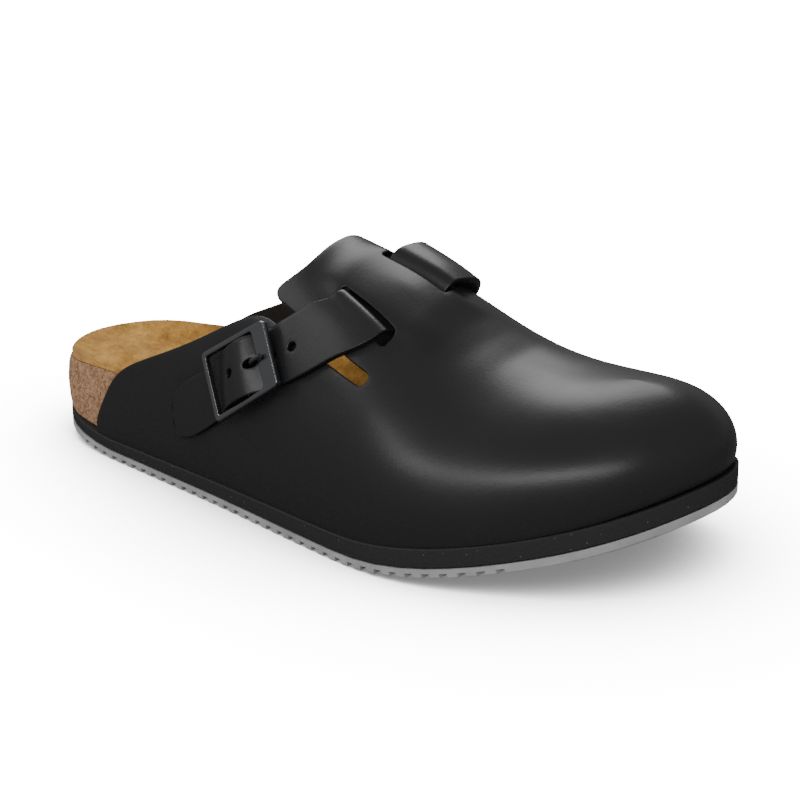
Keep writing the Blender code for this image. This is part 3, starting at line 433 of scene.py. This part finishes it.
def leatherPlace(x, t):
    # the form with its creases and gentle swells
    p, n = leatherForm(x, t), formNormal(x, t)
    push = np.zeros(np.shape(x))
    for cx, ct, wide, tall, turn, depth in creaseTable:
        c, s = math.cos(math.radians(turn)), math.sin(math.radians(turn))
        u, v = (x / soleLength - cx) / wide, (t - ct) / tall
        u, v = u * c + v * s, v * c - u * s
        push = push + depth * 0.001 * np.exp(-(u * u + v * v) * 1.2)
    return p + n * push[..., None], n


def aroundAt(x, z, side):
    # place around the section at a height
    table, at = np.array(lastTable), x / soleLength
    high, up = (naturalCurve(table[:, 0], table[:, k], at) for k in (1, 4))
    low = midsoleTop(x)
    rise = np.clip((z - low) / (high * shoe["instep"] - low), 0, 1)
    return side * (1 - np.arcsin(rise ** (up / 2)) / (math.pi / 2))


# A flat pattern of the hide: x is stretched toward the toe tip, where the outline turns quickly
bend = {"start": 0.80 * soleLength, "around": 0.115, "step": 0.0019, "edgeStep": 0.0010, "roundMm": 0.55}


def toPattern(x, t):
    start = bend["start"]
    rest = np.sqrt(np.clip((soleLength - x) / (soleLength - start), 0, 1))
    u = np.where(x <= start, x, start + 2 * (soleLength - start) * (1 - rest))
    return np.stack([u, np.asarray(t) * bend["around"]], -1)


def fromPattern(p):
    start = bend["start"]
    w = np.clip((p[:, 0] - start) / (2 * (soleLength - start)), 0, 1)
    x = np.where(p[:, 0] <= start, p[:, 0], soleLength - (soleLength - start) * (1 - w) ** 2)
    return x, p[:, 1] / bend["around"]


def evenly(points, step, closed=False):
    p = np.asarray(points, float)
    if closed:
        p = np.vstack([p, p[:1]])
    d = np.r_[0, np.cumsum(np.linalg.norm(np.diff(p, axis=0), axis=1))]
    count = max(2, int(round(d[-1] / step)) + 1)
    at = np.linspace(0, d[-1], count)
    out = np.stack([np.interp(at, d, p[:, k]) for k in range(p.shape[1])], 1)
    return out[:-1] if closed else out


def insideLoop(points, loop):
    inside = np.zeros(len(points), bool)
    x, y = points[:, 0], points[:, 1]
    for (ax, ay), (bx, by) in zip(loop, np.roll(loop, -1, axis=0)):
        crosses = (ay > y) != (by > y)
        with np.errstate(divide="ignore", invalid="ignore"):
            inside ^= crosses & (x < (bx - ax) * (y - ay) / (by - ay) + ax)
    return inside


def farFrom(points, loop, distance):
    keep = np.ones(len(points), bool)
    for q in loop:
        keep &= ((points - q) ** 2).sum(1) > distance ** 2
    return keep


def cutHide(name, loops, grid, place, thickness, roundness, step, offset=0.0, seam=None, square=None):
    # a hide cut to a flat pattern, laid on a form, with its wall and rounded edges; square picks the edge
    # that stays nearly sharp
    keep = insideLoop(grid, loops[0])
    for hole in loops[1:]:
        keep &= ~insideLoop(grid, hole)
    grid = grid[keep]
    for loop in loops:
        grid = grid[farFrom(grid, loop, 0.62 * step)]
    verts = [Vector(p) for loop in loops for p in loop.tolist()] + [Vector(p) for p in grid.tolist()]
    edges, start = [], 0
    for loop in loops:
        n = len(loop)
        edges += [(start + i, start + (i + 1) % n) for i in range(n)]
        start += n
    made = delaunay_2d_cdt(verts, edges, [], 0, 1e-7)
    flat = np.array([tuple(v) for v in made[0]])
    tris = np.array([f for f in made[2]])
    mid = flat[tris].mean(axis=1)
    keep = insideLoop(mid, loops[0])
    for hole in loops[1:]:
        keep &= ~insideLoop(mid, hole)
    # slivers between three neighbours of an outline would leave a loose rim vertex
    a, b, c = (flat[tris[:, k]] for k in range(3))
    keep &= np.abs((b - a)[:, 0] * (c - a)[:, 1] - (b - a)[:, 1] * (c - a)[:, 0]) > 1e-8
    tris = tris[keep]
    p, n = place(flat)
    a, b, c = (p[tris[:, k]] for k in range(3))
    if ((np.cross(b - a, c - a) * n[tris[:, 0]]).sum(1) < 0).mean() > 0.5:
        tris = tris[:, ::-1]
    a, b, c = (p[tris[:, k]] for k in range(3))
    laid = np.zeros_like(p)
    for k in range(3):
        np.add.at(laid, tris[:, k], np.cross(b - a, c - a))
    laid /= np.maximum(np.linalg.norm(laid, axis=1, keepdims=True), 1e-15)
    n = np.where((laid * n).sum(1, keepdims=True) > 0.9, n, laid)
    half = np.concatenate([tris[:, [0, 1]], tris[:, [1, 2]], tris[:, [2, 0]]])
    known = {(int(i), int(j)) for i, j in half}
    rim = [(i, j) for i, j in known if (j, i) not in known]
    if seam is not None:
        onSeam = seam(flat)
        rim = [(i, j) for i, j in rim if not (onSeam[i] and onSeam[j])]
        ids = np.where(onSeam)[0]
        ids = ids[np.argsort(flat[ids, 1])]
        joined = n[ids] + n[ids][::-1]
        n[ids] = joined / np.linalg.norm(joined, axis=1)[:, None]
        p[ids] = (p[ids] + p[ids][::-1]) / 2
    away = np.zeros_like(p)
    for i, j in sorted(rim):
        d = np.cross(p[j] - p[i], n[i] + n[j])
        d /= np.linalg.norm(d) + 1e-12
        away[i] += d
        away[j] += d
    size = np.linalg.norm(away, axis=1, keepdims=True)
    away = away / np.maximum(size, 1e-9)
    used = sorted({i for pair in rim for i in pair})
    top = p + n * offset - np.array([shoe["heelPad"], 0, 0])
    soft = np.full(len(flat), roundness)
    if square is not None:
        soft[square(p)] = 0.00012
    top -= away * soft[:, None]
    turns = [math.radians(a) for a in (30, 60, 90)]
    steps = [(math.sin(a), 1 - math.cos(a), 0) for a in turns]
    steps += [(o, -d, thickness) for o, d, w in steps[::-1]]
    mesh = bmesh.new()
    outer = [mesh.verts.new(v) for v in top.tolist()]
    base = top - n * thickness
    inner = [mesh.verts.new(v) for v in base.tolist()]
    for t in tris.tolist():
        mesh.faces.new([outer[i] for i in t]).material_index = 0
        mesh.faces.new([inner[i] for i in t[::-1]]).material_index = 2
    last = {i: outer[i] for i in used}
    for k, (out, down, wall) in enumerate(steps):
        ring = {i: mesh.verts.new((top[i] + away[i] * out * soft[i]
                                   - n[i] * (down * soft[i] + wall)).tolist())
                for i in used}
        for i, j in rim:
            face = mesh.faces.new([last[j], last[i], ring[i], ring[j]])
            face.material_index = 1 if k > 0 else 0
        last = ring
    for i, j in rim:
        mesh.faces.new([last[j], last[i], inner[i], inner[j]]).material_index = 1
    bmesh.ops.remove_doubles(mesh, verts=mesh.verts, dist=1e-6)
    if seam is not None:
        # the end of the toe seam is worked smooth
        pole = Vector(top[ids[len(ids) // 2]].tolist())
        for reach in (0.026, 0.019, 0.012) * 7:
            near = [v for v in mesh.verts if (v.co - pole).length < reach]
            bmesh.ops.smooth_vert(mesh, verts=near, factor=0.5,
                                  use_axis_x=True, use_axis_y=True, use_axis_z=True)
    for face in mesh.faces:
        face.smooth = True
    data = bpy.data.meshes.new(name)
    mesh.to_mesh(data)
    mesh.free()
    piece = bpy.data.objects.new(name, data)
    bpy.context.scene.collection.objects.link(piece)
    return piece


def finishPiece(piece, node, materials):
    for material in materials:
        piece.data.materials.append(material)
    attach(piece, "root")
    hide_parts(node)
    return piece


def roundCorners(points, radius):
    # each corner of a closed outline becomes a short arc
    out, n = [], len(points)
    for i in range(n):
        a, b, c = (np.array(points[(i + k) % n], float) for k in (-1, 0, 1))
        u, v = (a - b) / np.linalg.norm(a - b), (c - b) / np.linalg.norm(c - b)
        for s in np.linspace(0, 1, 5):
            p, q = b + u * radius * (1 - s), b + v * radius * s
            out.append(p + (q - p) * s)
    return out


def slotLoop(start, end, side, wide):
    # a strap slot, given in plan, carried to the pattern
    a, b = (np.array(p) * (soleLength, ballWidth) for p in (start, end))
    along = (b - a) / np.linalg.norm(b - a)
    across = np.array([-along[1], along[0]]) * side
    middle = (a + b) / 2
    length = along * shoe["slotLength"] / 2
    corners = [middle - length, middle + length,
               middle + length + across * wide, middle - length + across * wide]
    ring = evenly(roundCorners(corners, 0.0016), bend["edgeStep"], closed=True)
    around = np.linspace(-0.95, 0.95, 400)
    out = []
    for x, y in ring:
        ys = leatherForm(np.full(400, x), around)[:, 1]
        out.append((x, np.interp(y, ys, around)))
    out = np.array(out)
    return toPattern(out[:, 0], out[:, 1])


def makeUpper():
    scale = np.array([soleLength, shoe["instep"]])
    wing = curveThrough(np.array(wingTable) * scale, count=60)
    tongue = curveThrough(np.array(tongueTable) * scale, count=40)
    end = np.array(slitEnd) * scale
    along = end - (wing[-1] + tongue[0]) / 2
    along /= np.linalg.norm(along)
    up = np.array([-along[1], along[0]])
    arc = [end + shoe["slit"] / 2 * (math.sin(a) * along - math.cos(a) * up)
           for a in np.linspace(0, math.pi, 13)]
    wing = wing[wing[:, 1] > midsoleTop(wing[:, 0]) + 0.0006]
    path = evenly(np.vstack([wing, arc, tongue]), 0.00008)
    table = np.array(lastTable)
    crest = naturalCurve(table[:, 0], table[:, 1], path[:, 0] / soleLength) * shoe["instep"]
    late = np.where((path[:, 1] >= crest - 1e-5) & (np.arange(len(path)) > len(path) * 0.7))[0]
    if len(late):
        path = path[:late[0] + 1]
    x = path[:, 0]
    inner, outer = aroundAt(x, path[:, 1], 1), aroundAt(x, path[:, 1], -1)
    inner[-1] = outer[-1] = 0.0
    xs = np.linspace(x[0], soleLength, 2000)
    held = np.minimum(xs, 0.87 * soleLength)
    foot = aroundAt(held, midsoleTop(held) + 0.0001, 1)
    low = evenly(toPattern(xs, -foot), bend["edgeStep"])
    high = evenly(toPattern(xs, foot), bend["edgeStep"])
    count = 2 * int(foot[-1] * bend["around"] / bend["edgeStep"]) + 1
    nose = toPattern(np.full(count, soleLength), np.linspace(-foot[-1], foot[-1], count))
    up = evenly(toPattern(x, inner), bend["edgeStep"])
    down = evenly(toPattern(x, outer), bend["edgeStep"])[::-1]
    loop = np.vstack([low[:-1], nose[:-1], high[::-1][:-1], up[1:-1], down[:-1]])
    keep = np.linalg.norm(loop - np.roll(loop, 1, axis=0), axis=1) > 2e-4
    loop = loop[keep]
    slots = [slotLoop(*outerSlotEdge, -1, shoe["outerSlot"]),
             slotLoop(*innerSlotEdge, 1, shoe["innerSlot"])]
    step = bend["step"]
    across = np.arange(-bend["around"], bend["around"], step)
    ahead = np.arange(0.10 * soleLength, 1.21 * soleLength, step * 0.87)
    grid = np.array([(u, v + (step / 2 if i % 2 else 0)) for i, u in enumerate(ahead) for v in across])

    def place(flat):
        return leatherPlace(*fromPattern(flat))

    last = toPattern(np.array([soleLength]), np.zeros(1))[0, 0]
    return cutHide("upper_leather", [loop] + slots, grid, place, shoe["leather"],
                   bend["roundMm"] / 1000, step,
                   seam=lambda flat: flat[:, 0] > last - 1e-6,
                   square=lambda p: p[:, 2] < midsoleTop(p[:, 0]) + 0.0004)


upper = makeUpper()
finishPiece(upper, "upper", [leather, dyedEdge, fleshSide])
print("upper made:", len(upper.data.polygons), "faces")


# Strap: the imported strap's cross lines, but with a later dive into the outer slot. Each row: rear edge's
# share of the length and place around, the same for the front edge, width share, outside (1) or under
# the leather (0), over the bar, loop at the rear and at the front
strapTable = [
    (0.3015, -0.832, 0.3025, -0.852, 0.10, 1.0, 0.00, 0.00, 0.00),
    (0.3040, -0.800, 0.3085, -0.876, 0.50, 1.0, 0.00, 0.00, 0.00),
    (0.3110, -0.765, 0.3200, -0.895, 0.72, 1.0, 0.00, 0.00, 0.00),
    (0.3230, -0.730, 0.3370, -0.897, 0.82, 1.0, 0.00, 0.00, 0.00),
    (0.3400, -0.700, 0.3580, -0.880, 0.84, 1.0, 0.00, 0.00, 0.00),
    (0.3620, -0.672, 0.3790, -0.850, 0.84, 1.0, 0.00, 0.00, 0.00),
    (0.3820, -0.640, 0.4020, -0.814, 0.84, 1.0, 0.06, 0.00, 0.00),
    (0.4020, -0.613, 0.4240, -0.781, 0.84, 1.0, 0.62, 0.00, 0.00),
    (0.4190, -0.587, 0.4430, -0.751, 0.84, 1.0, 0.97, 0.00, 0.00),
    (0.4360, -0.556, 0.4640, -0.714, 0.85, 1.0, 0.78, 0.00, 0.00),
    (0.4530, -0.523, 0.4870, -0.675, 0.86, 1.0, 0.02, 0.00, 0.00),
    (0.4700, -0.483, 0.5110, -0.635, 0.90, 1.0, 0.04, 0.00, 0.00),
    (0.4860, -0.438, 0.5410, -0.565, 0.95, 1.0, 0.00, 0.00, 0.00),
    (0.5020, -0.376, 0.5700, -0.486, 1.00, 1.0, 0.00, 0.00, 0.00),
    (0.5160, -0.330, 0.5940, -0.420, 1.00, 1.00, 0.00, 0.00, 0.00),
    (0.5250, -0.300, 0.6060, -0.350, 1.00, 1.00, 0.00, 0.00, 0.00),
    (0.5285, -0.279, 0.6102, -0.313, 1.00, 0.90, 0.00, 0.00, 0.00),
    (0.5320, -0.256, 0.6127, -0.285, 1.00, 0.12, 0.00, 0.00, 0.00),
    (0.5345, -0.230, 0.6140, -0.257, 1.00, 0.0, 0.00, 0.00, 0.00),
    (0.5370, -0.120, 0.6150, -0.160, 1.00, 0.0, 0.00, 0.00, 0.00),
    (0.5380, -0.040, 0.6150, -0.090, 1.00, 0.0, 0.00, 0.00, 0.00),
    (0.5385, -0.002, 0.6140, -0.036, 1.00, 0.0, 0.00, 0.00, 0.00),
    (0.5390, 0.028, 0.6130, 0.016, 1.00, 0.18, 0.00, 0.00, 0.00),
    (0.5400, 0.060, 0.6130, 0.054, 1.00, 0.86, 0.00, 0.05, 0.03),
    (0.5400, 0.090, 0.6130, 0.088, 1.00, 1.0, 0.00, 0.28, 0.15),
    (0.5410, 0.135, 0.6140, 0.130, 1.00, 1.0, 0.00, 0.64, 0.32),
    (0.5430, 0.190, 0.6150, 0.180, 1.00, 1.0, 0.00, 0.92, 0.46),
    (0.5390, 0.270, 0.6110, 0.260, 1.00, 1.0, 0.00, 1.00, 0.50),
    (0.5290, 0.360, 0.5990, 0.360, 1.00, 1.0, 0.00, 0.92, 0.44),
    (0.5130, 0.450, 0.5800, 0.470, 1.00, 1.0, 0.00, 0.74, 0.34),
    (0.4920, 0.530, 0.5540, 0.580, 1.00, 1.0, 0.00, 0.50, 0.24),
    (0.4650, 0.600, 0.5220, 0.670, 1.00, 1.0, 0.00, 0.26, 0.14),
    (0.4360, 0.655, 0.4880, 0.740, 1.00, 1.0, 0.00, 0.09, 0.05),
    (0.4080, 0.695, 0.4540, 0.795, 1.00, 1.0, 0.00, 0.00, 0.00),
    (0.3850, 0.730, 0.4260, 0.835, 1.00, 1.0, 0.00, 0.00, 0.00),
    (0.3700, 0.750, 0.4100, 0.855, 0.94, 1.0, 0.00, 0.00, 0.00),
]
strap = {"width": 0.025, "thick": 0.0024, "slack": 0.0008, "loop": 0.0070, "hole": 0.0032, "pitch": 0.0090,
         "holes": 4, "pierced": 1, "pulled": 1.6, "roundMm": 0.45, "evenRows": (24, 33), "evenPasses": 110}
buckle = {"length": 0.0340, "front": 0.0070, "rise": 0.0053, "bar": 0.0022, "drop": 0.0022, "shift": -0.001,
          "prong": 0.0018, "crossing": 0.60,
          "middle": (0.4375, -0.6580), "behind": (0.3890, -0.733), "ahead": (0.4900, -0.556)}


def framePlace():
    x, t = buckle["middle"][0] * soleLength, buckle["middle"][1]
    spot = leatherForm(np.array(x), np.array(t))
    out = formNormal(np.array(x), np.array(t))
    rear = leatherForm(np.array(buckle["behind"][0] * soleLength), np.array(buckle["behind"][1]))
    front = leatherForm(np.array(buckle["ahead"][0] * soleLength), np.array(buckle["ahead"][1]))
    along = front - rear
    along = along - out * (along @ out)
    along /= np.linalg.norm(along)
    across = np.cross(out, along)
    made = np.eye(4)
    made[:3, 0], made[:3, 1], made[:3, 2], made[:3, 3] = along, across, out, spot + out * buckle["rise"]
    return made


def strapLines():
    lie = shoe["gap"] + strap["thick"] / 2
    under = -(shoe["leather"] + strap["slack"] + strap["thick"] / 2)
    turn = buckle["bar"] / 2 + 0.0001 + buckle["prong"] / 2
    overBar = (buckle["rise"] - buckle["drop"] + turn + buckle["prong"] / 2 + shoe["gap"]
               + strap["thick"] / 2 - lie)
    rows = []
    for xr, tr, xf, tf, width, outside, bar, loopRear, loopFront in strapTable:
        s = np.linspace(0, 1, 5)
        x, t = (xr + (xf - xr) * s) * soleLength, tr + (tf - tr) * s
        lift = under + (lie - under) * outside + overBar * bar
        lift = lift + strap["loop"] * (loopRear + (loopFront - loopRear) * s)
        p = leatherForm(x, t) + formNormal(x, t) * lift[:, None]
        wide = np.linalg.norm(p[4] - p[0])
        rows.append(p[2] + (p - p[2]) * (strap["width"] * width / wide))
    return np.array(rows)


def makeStrap():
    rows = strapLines()
    mid = rows[:, 2]
    d = np.r_[0, np.cumsum(np.linalg.norm(np.diff(mid, axis=0), axis=1))]
    # dense cross lines, then read anywhere on the band
    at = np.unique(np.r_[np.linspace(0, d[2], 30), np.linspace(d[2], d[-1], 240)])
    band = np.stack([np.stack([naturalCurve(d, rows[:, j, k], at) for k in range(3)], -1)
                     for j in range(5)], 1)
    cols = np.linspace(-1, 1, 5)
    wide = np.linspace(-1, 1, 17)
    band = np.stack([np.stack([naturalCurve(cols, band[i, :, k], wide) for k in range(3)], -1)
                     for i in range(len(at))])
    # the raised loop keeps one even curve, as a stiff band does
    loose, laid = (int(np.searchsorted(at, d[row])) for row in strap["evenRows"])
    for turn in range(strap["evenPasses"]):
        band[loose:laid] = (band[loose - 1:laid - 1] + 2 * band[loose:laid] + band[loose + 1:laid + 1]) / 4
    half = strap["width"] / 2

    def read(s, w):
        i = np.clip(np.searchsorted(at, s) - 1, 0, len(at) - 2)
        j = np.clip(np.searchsorted(wide, w) - 1, 0, len(wide) - 2)
        a = np.clip((s - at[i]) / (at[i + 1] - at[i]), -0.5, 1.5)[:, None]
        b = np.clip((w - wide[j]) / (wide[j + 1] - wide[j]), -0.5, 1.5)[:, None]
        return (band[i, j] * (1 - a) * (1 - b) + band[i + 1, j] * a * (1 - b)
                + band[i, j + 1] * (1 - a) * b + band[i + 1, j + 1] * a * b)

    def place(flat):
        s, w = flat[:, 0], flat[:, 1] / half
        p = read(s, w)
        s1, w1 = np.clip(s, at[0] + 0.0008, at[-1] - 0.0008), np.clip(w, -0.94, 0.94)
        ds = read(s1 + 0.0006, w1) - read(s1 - 0.0006, w1)
        dw = read(s1, w1 + 0.05) - read(s1, w1 - 0.05)
        n = np.cross(ds, dw)
        n /= np.linalg.norm(n, axis=1)[:, None]
        return p, n * facing

    facing = 1.0
    probe = place(np.array([[0.05, 0.0]]))[1][0]
    facing = 1.0 if probe[2] > 0 else -1.0
    step = 0.0013
    edge = evenly([(0, -half), (at[-1], -half), (at[-1], half), (0, half)], 0.0007, closed=True)
    m = framePlace()
    front = buckle["length"] / 2 - buckle["front"]
    ahead = buckle["shift"] + buckle["crossing"] * (front - buckle["shift"])
    crossing = m[:3, :3] @ np.array([ahead, 0, 0]) + m[:3, 3]
    dense = np.linspace(0, at[-1], 4000)
    line = read(dense, np.zeros(4000))
    pierced = dense[int(np.argmin(np.linalg.norm(line - crossing, axis=1)))]
    loops = [edge]
    for k in range(strap["holes"]):
        s = pierced + (k - strap["pierced"]) * strap["pitch"]
        long = strap["pulled"] if k == strap["pierced"] else 1.0
        there = np.array([s])
        rims = read(there, np.array([1.0])) - read(there, np.array([-1.0]))
        share = np.linalg.norm(rims) / 2 / half
        loops.append(np.array([(s + strap["hole"] / 2 * long * math.cos(a),
                                strap["hole"] / 2 / share * math.sin(a))
                               for a in np.linspace(0, 2 * math.pi, 29)[:-1]]))
    grid = np.array([(s + (step / 2 if j % 2 else 0), w) for s in np.arange(0.0004, at[-1], step)
                     for j, w in enumerate(np.arange(-half + 0.0007, half, step * 0.9))])
    piece = cutHide("buckle_strap", loops, grid, place, strap["thick"], strap["roundMm"] / 1000, step,
                    offset=strap["thick"] / 2)
    return piece


band = makeStrap()
finishPiece(band, "strap", [leather, dyedEdge, fleshSide])
print("strap made:", len(band.data.polygons), "faces")

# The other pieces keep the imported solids' form, with their edges broken as the tool leaves them:
# slot, material and how much is taken off each edge, in millimetres
finishes = {
    "outsole": ("grey_rubber", soleRubber, 0.15), "midsole": ("black_foam", foamBlock, 0.60),
    "footbed": ("cork", corkMix, 0.0), "footbed_lining": ("tan_suede", suedeCover, 0.0),
    "buckle_frame": ("black_metal", nickel, 0.40), "buckle_prong": ("black_metal", nickel, 0.0),
    "buckle_anchor": ("black_leather", leather, 0.25),
}


def finishSolid(node, material, edgeMm):
    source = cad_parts[node]
    data = source.data.copy()
    data.transform(source.matrix_world)
    data.materials.clear()
    mesh = bmesh.new()
    mesh.from_mesh(data)
    bmesh.ops.remove_doubles(mesh, verts=mesh.verts, dist=1e-6)
    bmesh.ops.dissolve_limit(mesh, angle_limit=math.radians(0.4), verts=mesh.verts, edges=mesh.edges)
    bmesh.ops.recalc_face_normals(mesh, faces=mesh.faces)
    for face in mesh.faces:
        face.smooth = True
    for e in mesh.edges:
        e.smooth = edgeMm > 0 or e.calc_face_angle(0) < math.radians(38)
    mesh.to_mesh(data)
    mesh.free()
    piece = bpy.data.objects.new(node + "_finished", data)
    bpy.context.scene.collection.objects.link(piece)
    if edgeMm > 0:
        bpy.context.view_layer.objects.active = piece
        broken = piece.modifiers.new("edge_break", "BEVEL")
        broken.width, broken.segments, broken.angle_limit = edgeMm / 1000, 2, math.radians(38)
        bpy.ops.object.modifier_apply(modifier=broken.name)
        even = piece.modifiers.new("even_normals", "WEIGHTED_NORMAL")
        even.keep_sharp = True
        bpy.ops.object.modifier_apply(modifier=even.name)
    return finishPiece(piece, node, [material])


for node, (slotName, material, edgeMm) in finishes.items():
    finishSolid(node, material, edgeMm)
print("solids finished")

# Studio: a pale glossy table, one wide soft light behind, a strip beside the camera and a soft fill;
# glow is the table's own light, least what is left of it in the deepest painted shadow under the shoe,
# mirrored the room in glossy rays
studio = {"floor": "#f4f4f4", "glow": 17.0, "least": 0.22, "shadeReach": 0.08, "shadeDepth": 3.0,
          "back": 9.0, "strip": 8.6, "fill": 3.0, "around": 0.9, "mirrored": 0.30}
aim = Vector((0.120, -0.010, 0.045))


def makeFloor():
    bpy.ops.mesh.primitive_plane_add(size=8.0, location=(0, 0, 0))
    table = bpy.context.object
    table.name = "white_table"
    made, shader, place = startMaterial("white_gloss_table", {
        "Base Color": hexColour(studio["floor"]), "Roughness": 0.22, "Specular IOR Level": 0.35})
    # the camera sees the table glow, pale and even, with a painted shadow from ambient occlusion: darker only
    # where the shoe stands over it
    shade = addNode(made, "ShaderNodeAmbientOcclusion", {"samples": 32, "Distance": studio["shadeReach"]})
    paintedShadowFactor = addNode(made, "ShaderNodeMath", {"operation": "POWER", 1: studio["shadeDepth"]},
                     {0: (shade, "AO")})
    bright = addNode(made, "ShaderNodeMath", {"operation": "MULTIPLY_ADD", 1: studio["glow"],
                     2: studio["least"]}, {0: (paintedShadowFactor, "Value")})
    glowing = addNode(made, "ShaderNodeEmission", links={"Strength": (bright, "Value")})
    # glossy rays meet a dark card in its place, which keeps the white table out of the polished leather
    path = addNode(made, "ShaderNodeLightPath")
    card = addNode(made, "ShaderNodeBsdfDiffuse", {"Color": (0.08, 0.08, 0.08, 1)})
    away = addNode(made, "ShaderNodeMixShader", links={"Fac": (path, "Is Glossy Ray")})
    seen = addNode(made, "ShaderNodeMixShader", links={"Fac": (path, "Is Camera Ray")})
    made.node_tree.links.new(shader.outputs[0], away.inputs[1])
    made.node_tree.links.new(card.outputs[0], away.inputs[2])
    made.node_tree.links.new(away.outputs[0], seen.inputs[1])
    made.node_tree.links.new(glowing.outputs[0], seen.inputs[2])
    joinNode(made, seen, 0, made.node_tree.nodes["Material Output"], "Surface")
    table.data.materials.append(made)


def softLight(name, azimuth, height, distance, size, power):
    a, e = math.radians(azimuth), math.radians(height)
    toward = Vector((math.sin(a) * math.cos(e), -math.cos(a) * math.cos(e), math.sin(e)))
    data = bpy.data.lights.new(name, "AREA")
    data.shape = "RECTANGLE"
    data.size, data.size_y = size
    data.energy = power
    lamp = bpy.data.objects.new(name, data)
    bpy.context.scene.collection.objects.link(lamp)
    lamp.location = aim + toward * distance
    lamp.rotation_euler = (-toward).to_track_quat("-Z", "Y").to_euler()


def makeCamera():
    # the photograph's viewing angle: beside the toe on the outer side, a little above
    azimuth, height, roll = (math.radians(a) for a in (37.98, 21.37, -1.6))
    back = Vector((math.sin(azimuth) * math.cos(height), -math.cos(azimuth) * math.cos(height),
                   math.sin(height)))
    right = Vector((math.cos(azimuth), math.sin(azimuth), 0))
    up = back.cross(right)
    right, up = right * math.cos(roll) + up * math.sin(roll), up * math.cos(roll) - right * math.sin(roll)
    data = bpy.data.cameras.new("photo_camera")
    data.sensor_width = 36
    data.lens = 2006.19 * 36 / 800
    data.shift_x, data.shift_y = 37.14 / 800, 0.27 / 800
    camera = bpy.data.objects.new("photo_camera", data)
    bpy.context.scene.collection.objects.link(camera)
    turn = Matrix((right, up, back)).transposed().to_4x4()
    camera.matrix_world = Matrix.Translation(Vector((0.082, 0, 0.035)) + back * 0.74163) @ turn
    bpy.context.scene.camera = camera


makeFloor()
softLight("back_softbox", -141, 41, 1.3, (1.0, 0.62), studio["back"])
softLight("strip_light", 18, 36, 1.2, (1.5, 0.20), studio["strip"])
softLight("side_fill", -60, 40, 1.4, (0.7, 0.7), studio["fill"])
makeCamera()
# the room is dimmer for glossy rays than for all others, so the leather stays black
world = bpy.data.worlds.new("studio_air")
bpy.context.scene.world = world
world.use_nodes = True
air = world.node_tree.nodes["Background"]
air.inputs["Color"].default_value = (1, 1, 1, 1)
air.inputs["Strength"].default_value = studio["around"]
dim = world.node_tree.nodes.new("ShaderNodeBackground")
dim.inputs["Strength"].default_value = studio["mirrored"]
path = world.node_tree.nodes.new("ShaderNodeLightPath")
either = world.node_tree.nodes.new("ShaderNodeMixShader")
world.node_tree.links.new(path.outputs["Is Glossy Ray"], either.inputs["Fac"])
world.node_tree.links.new(air.outputs[0], either.inputs[1])
world.node_tree.links.new(dim.outputs[0], either.inputs[2])
world.node_tree.links.new(either.outputs[0], world.node_tree.nodes["World Output"].inputs["Surface"])
print("studio made")
